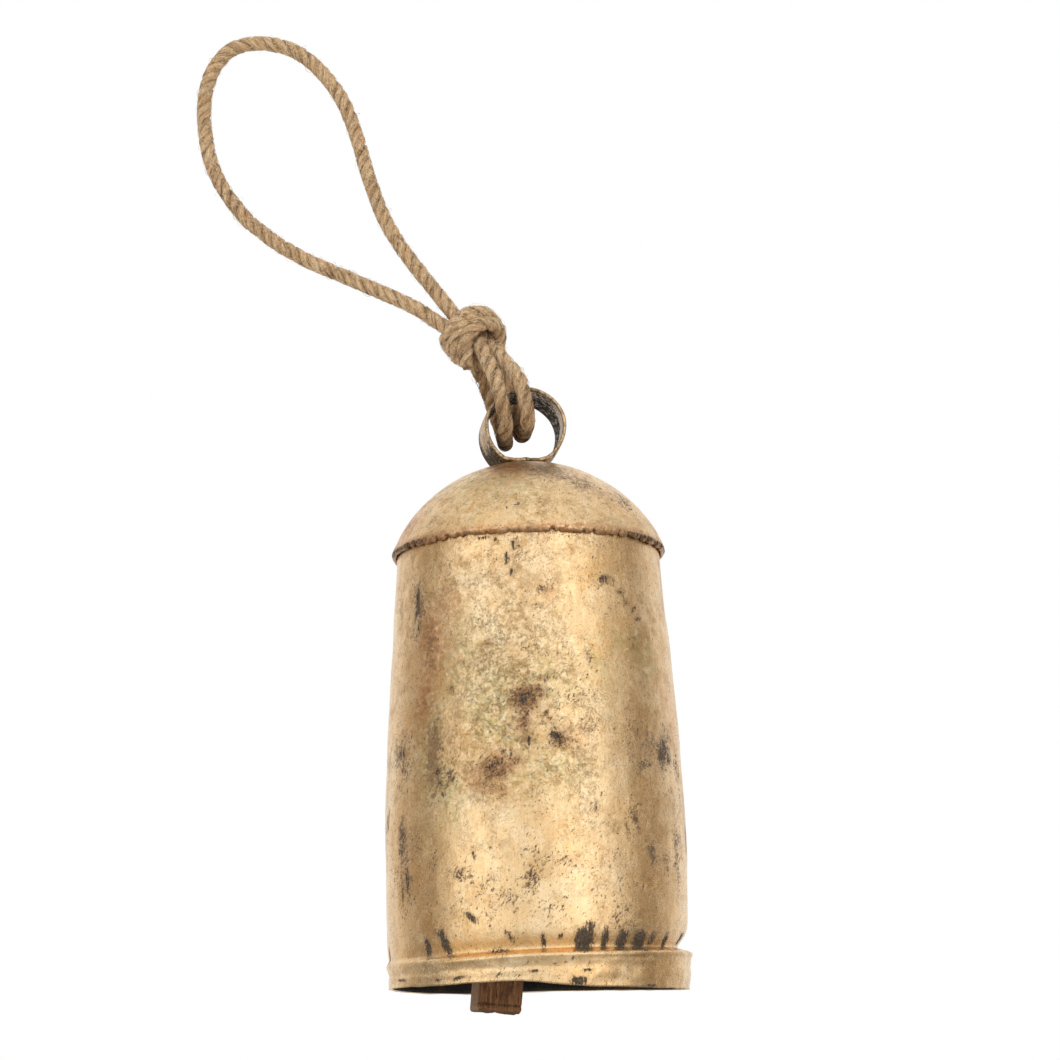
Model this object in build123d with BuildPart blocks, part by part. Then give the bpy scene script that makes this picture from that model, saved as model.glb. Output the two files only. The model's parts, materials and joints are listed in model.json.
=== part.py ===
from build123d import *
from math import sin, cos, radians
import os

# A hand-beaten sheet-iron bell hung on a knotted loop of jute rope.
# Millimetres, +Z up, +X to the right, +Y away from the front.
# The origin is the point inside the far end of the rope loop where a hook bears.

# ---------------------------------------------------------------- dimensions
# Where the bell hangs from the origin
AXIS_X = 127.5            # the bell's axis stands this far to the right of the hook
MOUTH_Z = -415.4          # the mouth plane, below the hook

# Body: a tapered tube of lapped sheet
SHEET = 1.2
BODY_OUTER = [            # (height above the mouth, outer radius)
    (0.0, 62.2), (2.4, 62.4), (4.9, 62.7), (8.6, 63.3), (11.0, 63.6), (13.2, 63.1),
    (14.8, 61.9), (16.4, 61.2), (18.4, 61.7), (20.9, 62.7), (24.6, 63.1), (37.0, 63.1),
    (49.5, 63.0), (62.0, 63.0), (74.6, 62.5), (87.2, 62.2), (99.9, 61.6), (112.7, 61.1),
    (125.5, 60.4), (138.5, 59.6), (151.4, 58.6), (164.4, 57.4), (176.0, 56.6), (187.3, 56.2),
]
SEAM_ARC = 12.0           # degrees of the circle covered by the lap
SEAM_PROUD = 1.1          # the lapped sheet stands this far off the one under it
SEAM_TOP = 181.6          # the lap ends under the cap's hem

# Cap: a shallow dome with a flattened crown and a hem beaten down over the tube
CAP_SPHERE_R = 63.9
CAP_SPHERE_Z = 159.9
CAP_T = 1.3
CROWN_Z = 222.4
CAP_BASE_Z = 185.6
HEM_Z = 182.4
HEM_R = 58.1
HEM_R_IN = 56.55

# Ring of flat strip on the crown
RING_X = -1.3             # ring centre, from the bell's axis
RING_Z = 238.3
RING_R = 17.7
RING_T = 1.5
RING_W = 25.4
RING_TURN = 7.9           # the ring's axis is turned this far from +Y
FIT = 0.05                # film between brazed or running surfaces

# Staple and hanger wires inside
STAPLE_WIRE_R = 1.75
STAPLE_HALF = 7.0         # half the spacing of the staple's legs
STAPLE_LOW_Z = 203.4
HEAD_R = 3.4
HEAD_H = 1.4
BAIL_WIRE_R = 1.25
EYE_R = 6.5
EYE_SLACK = 0.10
SHANK_R = 2.2
YOKE_TOP_Z = 183.0
YOKE_SHOULDER_Z = 176.0
YOKE_HALF = 11.35
PIN_Z = 158.0

# Clapper: a square stick
STICK = 19.0
STICK_TURN = 10.5         # its faces are turned this far about the vertical
STICK_LEAN = 6.0          # at rest it leans with its lower end to the left
STICK_BELOW = 168.0       # from the cross pin down to its end
STICK_ABOVE = 9.0

# Rope
ROPE_R = 3.2
KNOT_X, KNOT_Z = -21.75, 281.7
KNOT_TILT = 44.0          # the knot's own axis leans this far to the left
LOBE_R = 3.2
LOOP = [                  # centreline of the loop, from the bell's axis and mouth
    (-37.39, 289.46), (-44.77, 294.92), (-63.10, 304.37), (-84.14, 314.38), (-101.95, 323.87),
    (-114.74, 333.49), (-124.02, 343.05), (-130.89, 353.05), (-135.34, 362.54), (-138.02, 372.02),
    (-139.50, 383.00), (-139.74, 390.97), (-138.73, 400.45), (-135.60, 409.90), (-129.49, 417.91),
    (-123.23, 421.05), (-116.03, 422.05), (-107.93, 421.10), (-100.30, 418.49), (-93.58, 413.99),
    (-88.46, 409.07), (-80.70, 398.84), (-75.87, 389.20), (-72.40, 379.16), (-69.83, 369.66),
    (-67.28, 359.72), (-64.50, 350.75), (-61.29, 341.33), (-56.99, 331.91), (-51.60, 322.72),
    (-44.91, 313.07), (-38.02, 303.68), (-32.01, 295.49),
]
BIGHT_LEFT = [            # (x, y, z) from the bell's axis and mouth, front strand to back strand
    (-19.4, -4.5, 278.4), (-17.0, -8.8, 272.9), (-14.0, -13.4, 265.9), (-11.1, -17.4, 257.7),
    (-9.1, -18.1, 251.0), (-7.5, -18.0, 244.3), (-6.7, -16.4, 238.6), (-7.1, -12.2, 235.9),
    (-7.9, -6.0, 235.1), (-8.6, 0.0, 234.9), (-9.2, 6.0, 235.2), (-9.9, 12.0, 236.6),
    (-11.2, 16.0, 240.2), (-12.9, 17.4, 245.0), (-14.9, 17.4, 251.1), (-17.0, 16.0, 258.0),
    (-19.0, 12.8, 264.2), (-20.6, 8.6, 268.6), (-21.6, 4.5, 273.0),
]
BIGHT_RIGHT = [
    (-12.4, -3.0, 272.2), (-8.7, -7.8, 268.4), (-4.6, -12.6, 263.3), (-1.6, -16.6, 257.2),
    (-0.1, -17.6, 250.7), (1.0, -17.6, 244.1), (1.2, -15.8, 240.0), (0.7, -11.6, 238.3),
    (0.1, -6.0, 238.1), (-0.5, 0.0, 238.2), (-1.1, 6.0, 238.7), (-1.9, 12.0, 240.4),
    (-2.9, 15.9, 244.2), (-4.3, 17.4, 250.9), (-5.5, 17.4, 257.8), (-7.2, 15.6, 264.2),
    (-10.6, 11.2, 270.0), (-14.6, 5.6, 274.4),
]

# ---------------------------------------------------------------- reference frames
BELL_AXIS = Axis((AXIS_X, 0, 0), (0, 0, 1))
BELL_PLANE = Plane(origin=(AXIS_X, 0, MOUTH_Z), x_dir=(1, 0, 0), z_dir=(0, -1, 0))
RS, RC = sin(radians(RING_TURN)), cos(radians(RING_TURN))
RING_PLANE = Plane(origin=(AXIS_X + RING_X, 0, MOUTH_Z + RING_Z), x_dir=(RC, RS, 0), z_dir=(RS, -RC, 0))
STAPLE_PLANE = Plane(origin=(AXIS_X + RING_X, 0, MOUTH_Z), x_dir=(-RS, RC, 0), z_dir=(RC, RS, 0))
TS, TC = sin(radians(STICK_TURN)), cos(radians(STICK_TURN))
YOKE_PLANE = Plane(origin=(AXIS_X + RING_X, 0, MOUTH_Z), x_dir=(-TS, TC, 0), z_dir=(TC, TS, 0))
LS, LC = sin(radians(STICK_LEAN)), cos(radians(STICK_LEAN))
STICK_PLANE = Plane(
    origin=(AXIS_X + RING_X, 0, MOUTH_Z + PIN_Z),
    x_dir=(LC * TC, LC * TS, -LS),
    z_dir=(LS * TC, LS * TS, LC),
)
KS, KC = sin(radians(KNOT_TILT)), cos(radians(KNOT_TILT))
KNOT_PLANE = Plane(origin=(AXIS_X + KNOT_X, 0, MOUTH_Z + KNOT_Z), x_dir=(KC, 0, KS), z_dir=(0, -1, 0))
KNOT_AXIS = Axis((AXIS_X + KNOT_X, 0, MOUTH_Z + KNOT_Z), (-KS, 0, KC))
LEG_HOLES = [
    (AXIS_X + RING_X - RS * side, RC * side) for side in (-STAPLE_HALF, STAPLE_HALF)
]

FOOT_Z = CROWN_Z + FIT            # underside of the ring's flattened foot
FOOT_TOP_Z = FOOT_Z + RING_T

# ---------------------------------------------------------------- body shell
with BuildPart() as body_shell:
    with BuildSketch(BELL_PLANE):
        with BuildLine():
            outer = Spline(*[(r, z) for z, r in BODY_OUTER])
            inner = Spline(*[(r - SHEET, z) for z, r in BODY_OUTER])
            Line(outer @ 0, inner @ 0)
            Line(outer @ 1, inner @ 1)
        make_face()
    revolve(axis=BELL_AXIS)
    # the edge of the sheet lapped over itself, down the back
    start = radians(90 - SEAM_ARC / 2)
    lap = [(z, r) for z, r in BODY_OUTER if z < SEAM_TOP] + [(SEAM_TOP, 56.4)]
    with BuildSketch(Plane(origin=(AXIS_X, 0, MOUTH_Z), x_dir=(cos(start), sin(start), 0), z_dir=(sin(start), -cos(start), 0))):
        with BuildLine():
            lap_out = Spline(*[(r + SEAM_PROUD, z) for z, r in lap])
            lap_in = Spline(*[(r - 0.4, z) for z, r in lap])
            Line(lap_out @ 0, lap_in @ 0)
            Line(lap_out @ 1, lap_in @ 1)
        make_face()
    revolve(axis=BELL_AXIS, revolution_arc=SEAM_ARC)

# ---------------------------------------------------------------- dome cap
def cap_height(radius, sphere_r):
    return CAP_SPHERE_Z + (sphere_r**2 - radius**2) ** 0.5


def cap_radius(height, sphere_r):
    return (sphere_r**2 - (height - CAP_SPHERE_Z) ** 2) ** 0.5


CAP_IN_R = CAP_SPHERE_R - CAP_T
CAP_IN_BASE_Z = 186.1
with BuildPart() as dome_cap:
    with BuildSketch(BELL_PLANE):
        with BuildLine():
            flat_r = cap_radius(CROWN_Z, CAP_SPHERE_R)
            base_r = cap_radius(CAP_BASE_Z, CAP_SPHERE_R)
            in_flat_r = cap_radius(CROWN_Z - CAP_T, CAP_IN_R)
            in_base_r = cap_radius(CAP_IN_BASE_Z, CAP_IN_R)
            Line((0, CROWN_Z), (flat_r, CROWN_Z))
            ThreePointArc((flat_r, CROWN_Z), (40, cap_height(40, CAP_SPHERE_R)), (base_r, CAP_BASE_Z))
            Line((base_r, CAP_BASE_Z), (HEM_R, HEM_Z))
            Line((HEM_R, HEM_Z), (HEM_R_IN, HEM_Z))
            Line((HEM_R_IN, HEM_Z), (in_base_r, CAP_IN_BASE_Z))
            ThreePointArc((in_base_r, CAP_IN_BASE_Z), (40, cap_height(40, CAP_IN_R)), (in_flat_r, CROWN_Z - CAP_T))
            Line((in_flat_r, CROWN_Z - CAP_T), (0, CROWN_Z - CAP_T))
            Line((0, CROWN_Z - CAP_T), (0, CROWN_Z))
        make_face()
    revolve(axis=BELL_AXIS)
    # two holes for the staple's legs
    with Locations(*[(x, y, MOUTH_Z + CROWN_Z + 1) for x, y in LEG_HOLES]):
        Hole(radius=STAPLE_WIRE_R + FIT, depth=5)

# the cap's outside as a plain solid, grown by one film, used to shape the braze
with BuildPart() as cap_blank:
    with BuildSketch(BELL_PLANE):
        with BuildLine():
            blank_flat_r = cap_radius(CROWN_Z + FIT, CAP_SPHERE_R + FIT)
            Line((0, CROWN_Z + FIT), (blank_flat_r, CROWN_Z + FIT))
            ThreePointArc(
                (blank_flat_r, CROWN_Z + FIT),
                (30, cap_height(30, CAP_SPHERE_R + FIT)),
                (40, cap_height(40, CAP_SPHERE_R + FIT)),
            )
            Line((40, cap_height(40, CAP_SPHERE_R + FIT)), (0, 190))
            Line((0, 190), (0, CROWN_Z + FIT))
        make_face()
    revolve(axis=BELL_AXIS)

# ---------------------------------------------------------------- crown ring
with BuildPart() as crown_ring:
    with BuildSketch(RING_PLANE):
        Circle(RING_R)
        with Locations((0, FOOT_Z - RING_Z - 15)):
            Rectangle(60, 30, mode=Mode.SUBTRACT)
        offset(amount=-RING_T, kind=Kind.INTERSECTION, mode=Mode.SUBTRACT)
    extrude(amount=RING_W / 2, both=True)
    with Locations(*[(x, y, MOUTH_Z + FOOT_TOP_Z + 1) for x, y in LEG_HOLES]):
        Hole(radius=STAPLE_WIRE_R + FIT, depth=3)

with BuildPart() as ring_blank:
    with BuildSketch(RING_PLANE):
        Circle(RING_R + FIT)
        with Locations((0, CROWN_Z - RING_Z - 15)):
            Rectangle(60, 30, mode=Mode.SUBTRACT)
    extrude(amount=RING_W / 2 + FIT, both=True)

# ---------------------------------------------------------------- crown braze
with BuildPart() as crown_braze:
    BRAZE_PLANE = Plane(origin=(AXIS_X + RING_X, 0, MOUTH_Z + CROWN_Z), x_dir=(RC, RS, 0), z_dir=(0, 0, 1))
    with BuildSketch(BRAZE_PLANE.offset(-1.6)):
        RectangleRounded(26, 29, 6)
    with BuildSketch(BRAZE_PLANE.offset(1.7)):
        RectangleRounded(21.5, 26.6, 4)
    loft()
    add(cap_blank.part, mode=Mode.SUBTRACT)
    add(ring_blank.part, mode=Mode.SUBTRACT)

# ---------------------------------------------------------------- clapper staple
with BuildPart() as clapper_staple:
    bend_z = STAPLE_LOW_Z + STAPLE_HALF
    with BuildLine(STAPLE_PLANE) as staple_path:
        Line((-STAPLE_HALF, FOOT_TOP_Z + 0.6), (-STAPLE_HALF, bend_z))
        ThreePointArc((-STAPLE_HALF, bend_z), (0, STAPLE_LOW_Z), (STAPLE_HALF, bend_z))
        Line((STAPLE_HALF, bend_z), (STAPLE_HALF, FOOT_TOP_Z + 0.6))
    with BuildSketch(Plane(origin=staple_path.wire() @ 0, z_dir=staple_path.wire() % 0)):
        Circle(STAPLE_WIRE_R)
    sweep(path=staple_path.wire())
    # the ends are peened over inside the ring
    with Locations(*[(x, y, MOUTH_Z + FOOT_TOP_Z + FIT) for x, y in LEG_HOLES]):
        Cylinder(HEAD_R, HEAD_H, align=(Align.CENTER, Align.CENTER, Align.MIN))
    fillet(clapper_staple.edges().filter_by(GeomType.CIRCLE).group_by(Axis.Z)[-1], 0.6)

# ---------------------------------------------------------------- clapper bail
EYE_Z = STAPLE_LOW_Z + STAPLE_WIRE_R + EYE_SLACK + BAIL_WIRE_R - EYE_R
with BuildPart() as clapper_bail:
    with Locations(Location(Plane(origin=(AXIS_X + RING_X, 0, MOUTH_Z + EYE_Z), x_dir=(RC, RS, 0), z_dir=(-RS, RC, 0)))):
        Torus(EYE_R, BAIL_WIRE_R)
    # the two ends of the wire twisted together
    with Locations((AXIS_X + RING_X, 0, MOUTH_Z + YOKE_TOP_Z - 0.9)):
        Cylinder(SHANK_R, EYE_Z - EYE_R - YOKE_TOP_Z + 1.2, align=(Align.CENTER, Align.CENTER, Align.MIN))
    with BuildLine(YOKE_PLANE) as yoke_path:
        FilletPolyline(
            (-YOKE_HALF, PIN_Z), (YOKE_HALF, PIN_Z), (YOKE_HALF, YOKE_SHOULDER_Z), (0, YOKE_TOP_Z),
            (-YOKE_HALF, YOKE_SHOULDER_Z), radius=1.6, close=True,
        )
    with BuildSketch(Plane(origin=yoke_path.wire() @ 0, z_dir=yoke_path.wire() % 0)):
        Circle(BAIL_WIRE_R)
    sweep(path=yoke_path.wire())

# ---------------------------------------------------------------- clapper
with BuildPart() as clapper:
    with BuildSketch(STICK_PLANE.offset(-STICK_BELOW)):
        Rectangle(STICK, STICK)
    extrude(amount=STICK_BELOW + STICK_ABOVE)
    long_edges = clapper.edges().filter_by(lambda e: abs(e.length - STICK_BELOW - STICK_ABOVE) < 0.01)
    fillet(long_edges, 1.2)
    chamfer(clapper.faces().sort_by(Axis.Z)[0].edges(), 1.0)
    with Locations(Location(Plane(origin=STICK_PLANE.origin, x_dir=STICK_PLANE.z_dir, z_dir=(-TS, TC, 0)))):
        Hole(radius=BAIL_WIRE_R + FIT)

# ---------------------------------------------------------------- rope loop
with BuildPart() as rope_loop:
    with BuildLine() as loop_path:
        Spline(*[(AXIS_X + x, 0, MOUTH_Z + z) for x, z in LOOP])
    with BuildSketch(Plane(origin=loop_path.wire() @ 0, z_dir=loop_path.wire() % 0)):
        Circle(ROPE_R)
    sweep(path=loop_path.wire())
    # rounded where the two legs go into the knot, so that they turn freely there
    with Locations(
        (AXIS_X + LOOP[0][0], 0, MOUTH_Z + LOOP[0][1]), (AXIS_X + LOOP[-1][0], 0, MOUTH_Z + LOOP[-1][1])
    ):
        Sphere(ROPE_R)

# ---------------------------------------------------------------- rope knot
LOBES = [(6.9, -9.6), (10.2, -3.2), (10.4, 3.2), (6.9, 9.4)]   # (radius, height) of each wrap's centreline
with BuildPart() as rope_knot:
    with BuildSketch(KNOT_PLANE):
        with Locations(*LOBES):
            Circle(LOBE_R)
        with Locations((4.25, 0)):
            Rectangle(8.5, 24)
    revolve(axis=KNOT_AXIS)

with BuildPart() as knot_blank:
    with BuildSketch(KNOT_PLANE):
        with Locations(*LOBES):
            Circle(LOBE_R + FIT)
        with Locations((4.25, 0)):
            Rectangle(8.5, 24.1)
    revolve(axis=KNOT_AXIS)

# ---------------------------------------------------------------- rope through the ring
with BuildPart() as rope_bight_left:
    with BuildLine() as left_path:
        Spline(*[(AXIS_X + x, y, MOUTH_Z + z) for x, y, z in BIGHT_LEFT])
    with BuildSketch(Plane(origin=left_path.wire() @ 0, z_dir=left_path.wire() % 0)):
        Circle(ROPE_R)
    sweep(path=left_path.wire())
    add(knot_blank.part, mode=Mode.SUBTRACT)

with BuildPart() as rope_bight_right:
    with BuildLine() as right_path:
        Spline(*[(AXIS_X + x, y, MOUTH_Z + z) for x, y, z in BIGHT_RIGHT])
    with BuildSketch(Plane(origin=right_path.wire() @ 0, z_dir=right_path.wire() % 0)):
        Circle(ROPE_R)
    sweep(path=right_path.wire())
    add(knot_blank.part, mode=Mode.SUBTRACT)

# ---------------------------------------------------------------- cut tail
with BuildPart() as rope_tail:
    TAIL_PLANE = Plane(origin=(AXIS_X - 24.2, -6.6, MOUTH_Z + 274.5), z_dir=(-0.05, -0.30, -1.0))
    with BuildSketch(TAIL_PLANE):
        Circle(2.8)
    extrude(amount=11.5)
    add(knot_blank.part, mode=Mode.SUBTRACT)

# ---------------------------------------------------------------- write the pieces
body_shell.part.label = "body_shell"
dome_cap.part.label = "dome_cap"
crown_ring.part.label = "crown_ring"
crown_braze.part.label = "crown_braze"
clapper_staple.part.label = "clapper_staple"
clapper_bail.part.label = "clapper_bail"
clapper.part.label = "clapper"
rope_loop.part.label = "rope_loop"
rope_knot.part.label = "rope_knot"
rope_bight_left.part.label = "rope_bight_left"
rope_bight_right.part.label = "rope_bight_right"
rope_tail.part.label = "rope_tail"

os.makedirs("parts", exist_ok=True)
export_step(body_shell.part, "parts/body_shell.step")
export_step(dome_cap.part, "parts/dome_cap.step")
export_step(crown_ring.part, "parts/crown_ring.step")
export_step(crown_braze.part, "parts/crown_braze.step")
export_step(clapper_staple.part, "parts/clapper_staple.step")
export_step(clapper_bail.part, "parts/clapper_bail.step")
export_step(clapper.part, "parts/clapper.step")
export_step(rope_loop.part, "parts/rope_loop.step")
export_step(rope_knot.part, "parts/rope_knot.step")
export_step(rope_bight_left.part, "parts/rope_bight_left.step")
export_step(rope_bight_right.part, "parts/rope_bight_right.step")
export_step(rope_tail.part, "parts/rope_tail.step")
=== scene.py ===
import json
import math

import bpy
import numpy as np
from mathutils import Matrix, Vector


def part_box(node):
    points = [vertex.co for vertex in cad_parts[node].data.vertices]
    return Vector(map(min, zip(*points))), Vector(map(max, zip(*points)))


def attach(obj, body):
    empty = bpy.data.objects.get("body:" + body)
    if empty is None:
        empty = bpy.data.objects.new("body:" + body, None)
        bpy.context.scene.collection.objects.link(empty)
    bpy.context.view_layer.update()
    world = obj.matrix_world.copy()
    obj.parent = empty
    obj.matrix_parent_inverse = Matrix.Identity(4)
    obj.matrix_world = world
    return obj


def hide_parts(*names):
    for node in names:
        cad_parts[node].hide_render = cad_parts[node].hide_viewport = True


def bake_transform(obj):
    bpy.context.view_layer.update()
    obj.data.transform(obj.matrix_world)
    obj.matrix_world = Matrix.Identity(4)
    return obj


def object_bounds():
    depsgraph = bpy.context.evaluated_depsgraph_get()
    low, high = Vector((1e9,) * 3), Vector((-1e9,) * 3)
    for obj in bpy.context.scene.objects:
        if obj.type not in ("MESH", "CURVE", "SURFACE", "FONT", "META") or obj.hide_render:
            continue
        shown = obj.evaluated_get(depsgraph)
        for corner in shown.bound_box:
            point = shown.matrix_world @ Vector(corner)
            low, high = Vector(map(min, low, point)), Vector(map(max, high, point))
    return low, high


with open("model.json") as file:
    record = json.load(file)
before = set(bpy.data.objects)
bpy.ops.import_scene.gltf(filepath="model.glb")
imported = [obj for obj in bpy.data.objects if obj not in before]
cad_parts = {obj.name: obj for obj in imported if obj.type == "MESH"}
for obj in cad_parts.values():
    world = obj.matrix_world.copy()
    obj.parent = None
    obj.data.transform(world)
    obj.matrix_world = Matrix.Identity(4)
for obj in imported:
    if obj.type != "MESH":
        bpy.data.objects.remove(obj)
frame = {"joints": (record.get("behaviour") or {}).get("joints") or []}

cad_lo, cad_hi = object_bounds()

MM = 0.001
body_lo, body_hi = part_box("body_shell")
AXIS_X = (body_lo.x + body_hi.x) / 2       # the bell's axis
MOUTH_Z = body_lo.z                        # the plane of its mouth
ring_lo, ring_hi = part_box("crown_ring")
RING_X = ((ring_lo.x + ring_hi.x) / 2 - AXIS_X) / MM
JOINT = {j["name"]: j for j in frame["joints"]}
rng = np.random.default_rng(11)


def row(p):
    """Millimetres from the bell's axis and mouth, to metres in the row frame."""
    p = np.asarray(p, float)
    return p * MM + np.array([AXIS_X, 0.0, MOUTH_Z])


# ------------------------------------------------------------------ noise
def vnoise(p, seed=0):
    i = np.floor(p).astype(np.int64)
    f = p - i
    u = f * f * f * (f * (f * 6 - 15) + 10)

    def h(dx, dy, dz):
        n = (i[..., 0] + dx) * 73856093 ^ (i[..., 1] + dy) * 19349663 ^ (i[..., 2] + dz) * 83492791 ^ (seed * 26544357 + 12345)
        n = n & 0xFFFFFFFF
        n = ((n ^ (n >> 15)) * 2246822519) & 0xFFFFFFFF
        n = ((n ^ (n >> 13)) * 3266489917) & 0xFFFFFFFF
        n = n ^ (n >> 16)
        return (n & 0xFFFF) / 32767.5 - 1.0

    x, y, z = u[..., 0], u[..., 1], u[..., 2]
    a = h(0, 0, 0) * (1 - x) + h(1, 0, 0) * x
    b = h(0, 1, 0) * (1 - x) + h(1, 1, 0) * x
    c = h(0, 0, 1) * (1 - x) + h(1, 0, 1) * x
    d = h(0, 1, 1) * (1 - x) + h(1, 1, 1) * x
    return (a * (1 - y) + b * y) * (1 - z) + (c * (1 - y) + d * y) * z


def fbm(p, octaves=3, seed=0, gain=0.5):
    p = np.asarray(p, float)
    total, amp, norm = 0.0, 1.0, 0.0
    for k in range(octaves):
        total = total + amp * vnoise(p * (2.03**k) + 17.3 * k, seed + k)
        norm += amp
        amp *= gain
    return total / norm


def smooth(a, b, x):
    t = np.clip((x - a) / (b - a), 0, 1)
    return t * t * (3 - 2 * t)


def around(table, blur=9.0):
    """A smooth periodic curve through (angle in degrees, value) pairs."""
    a = np.array([t[0] for t in table], float)
    v = np.array([t[1] for t in table], float)
    order = np.argsort(a % 360)
    g = np.arange(0, 360, 1.0)
    y = np.interp(g, (a % 360)[order], v[order], period=360)
    k = np.exp(-0.5 * (np.arange(-30, 31) / (blur / 2)) ** 2)
    k /= k.sum()
    y = np.convolve(np.concatenate([y[-30:], y, y[:30]]), k, "valid")
    return lambda th: np.interp(np.asarray(th) % 360, np.append(g, 360), np.append(y, y[0]))


# ------------------------------------------------------------------ mesh helpers
def make(name, verts, faces, mats, body, replaces=(), attrs=None, smooth_faces=True, face_mats=None, vec_attrs=None):
    me = bpy.data.meshes.new(name)
    me.from_pydata([tuple(v) for v in verts], [], [tuple(int(i) for i in f) for f in faces])
    me.update()
    ob = bpy.data.objects.new(name, me)
    bpy.context.scene.collection.objects.link(ob)
    for m in mats:
        me.materials.append(m)
    if face_mats is not None:
        me.polygons.foreach_set("material_index", np.asarray(face_mats, np.int32))
    me.polygons.foreach_set("use_smooth", np.full(len(me.polygons), smooth_faces))
    for key, val in (attrs or {}).items():
        at = me.attributes.new(key, "FLOAT", "POINT")
        at.data.foreach_set("value", np.asarray(val, np.float32).ravel())
    for key, val in (vec_attrs or {}).items():
        at = me.attributes.new(key, "FLOAT_VECTOR", "POINT")
        at.data.foreach_set("vector", np.asarray(val, np.float32).ravel())
    if body:
        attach(ob, body)
    if replaces:
        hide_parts(*replaces)
    return ob


def grid(nr, nc, wrap=True, base=0, flip=False):
    r = np.arange(nr - 1)[:, None]
    c = np.arange(nc if wrap else nc - 1)[None, :]
    c2 = (c + 1) % nc
    a, b = base + r * nc + c, base + r * nc + c2
    d, e = base + (r + 1) * nc + c, base + (r + 1) * nc + c2
    q = np.stack([a, b, e, d], -1).reshape(-1, 4)
    return q[:, ::-1] if flip else q


def resample(pts, step, closed=False):
    """Catmull-Rom through pts, at an even step."""
    p = np.asarray(pts, float)
    n = len(p)
    out = []
    segs = n if closed else n - 1
    for i in range(segs):
        if closed:
            p0, p1, p2, p3 = p[i - 1], p[i], p[(i + 1) % n], p[(i + 2) % n]
        else:
            p1, p2 = p[i], p[i + 1]
            p0 = p[i - 1] if i else 2 * p1 - p2
            p3 = p[i + 2] if i + 2 < n else 2 * p2 - p1
        k = max(4, int(np.linalg.norm(p2 - p1) / step * 3))
        t = np.linspace(0, 1, k, endpoint=False)[:, None]
        out.append(0.5 * ((2 * p1) + (-p0 + p2) * t + (2 * p0 - 5 * p1 + 4 * p2 - p3) * t**2 + (-p0 + 3 * p1 - 3 * p2 + p3) * t**3))
    out = np.concatenate(out + [p[:1] if closed else p[-1:]])
    d = np.concatenate([[0], np.cumsum(np.linalg.norm(np.diff(out, axis=0), axis=1))])
    m = max(2, int(round(d[-1] / step)) + 1)
    s = np.linspace(0, d[-1], m)
    res = np.stack([np.interp(s, d, out[:, k]) for k in range(3)], 1)
    return res[:-1] if closed else res


def frames(p, closed=False):
    """Tangent, normal and binormal along a path, carried without twist."""
    if closed:
        t = np.roll(p, -1, 0) - np.roll(p, 1, 0)
    else:
        t = np.gradient(p, axis=0)
    t /= np.linalg.norm(t, axis=1)[:, None]
    nrm = np.zeros_like(t)
    ref = np.array([0.0, 1.0, 0.0]) if abs(t[0, 1]) < 0.8 else np.array([1.0, 0, 0])
    v = ref - t[0] * (ref @ t[0])
    nrm[0] = v / np.linalg.norm(v)
    for i in range(1, len(t)):
        v = nrm[i - 1] - t[i] * (nrm[i - 1] @ t[i])
        nrm[i] = v / np.linalg.norm(v)
    if closed:  # spread the leftover turn round the loop
        v = nrm[-1] - t[0] * (nrm[-1] @ t[0])
        v /= np.linalg.norm(v)
        ang = math.atan2(np.cross(v, nrm[0]) @ t[0], v @ nrm[0])
        a = (np.arange(len(t)) / len(t) * ang)[:, None]
        bi = np.cross(t, nrm)
        nrm = nrm * np.cos(a) + bi * np.sin(a)
    return t, nrm, np.cross(t, nrm)


def tube(path, radius, sides=10, closed=False, caps=True, squash=None):
    """Verts and faces of a round tube along a path. radius is one number, one per point, or one per point and side."""
    p = np.asarray(path, float)
    t, n, b = frames(p, closed)
    a = np.linspace(0, 2 * math.pi, sides, endpoint=False)
    r = np.broadcast_to(np.asarray(radius, float).reshape(-1, 1) if np.ndim(radius) < 2 else radius, (len(p), sides))
    v = p[:, None] + (n[:, None] * np.cos(a)[None, :, None] + b[:, None] * np.sin(a)[None, :, None]) * r[..., None]
    f = grid(len(p), sides)
    v = v.reshape(-1, 3)
    faces = [list(x) for x in f]
    if closed:
        last = (len(p) - 1) * sides
        for k in range(sides):
            k2 = (k + 1) % sides
            faces.append([last + k, last + k2, k2, k])
    elif caps:
        faces.append(list(range(sides))[::-1])
        faces.append([(len(p) - 1) * sides + k for k in range(sides)])
    return v, faces


def join(parts):
    vs, fs, n = [], [], 0
    for v, f in parts:
        vs.append(v)
        fs += [[i + n for i in q] for q in f]
        n += len(v)
    return np.concatenate(vs), fs


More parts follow.
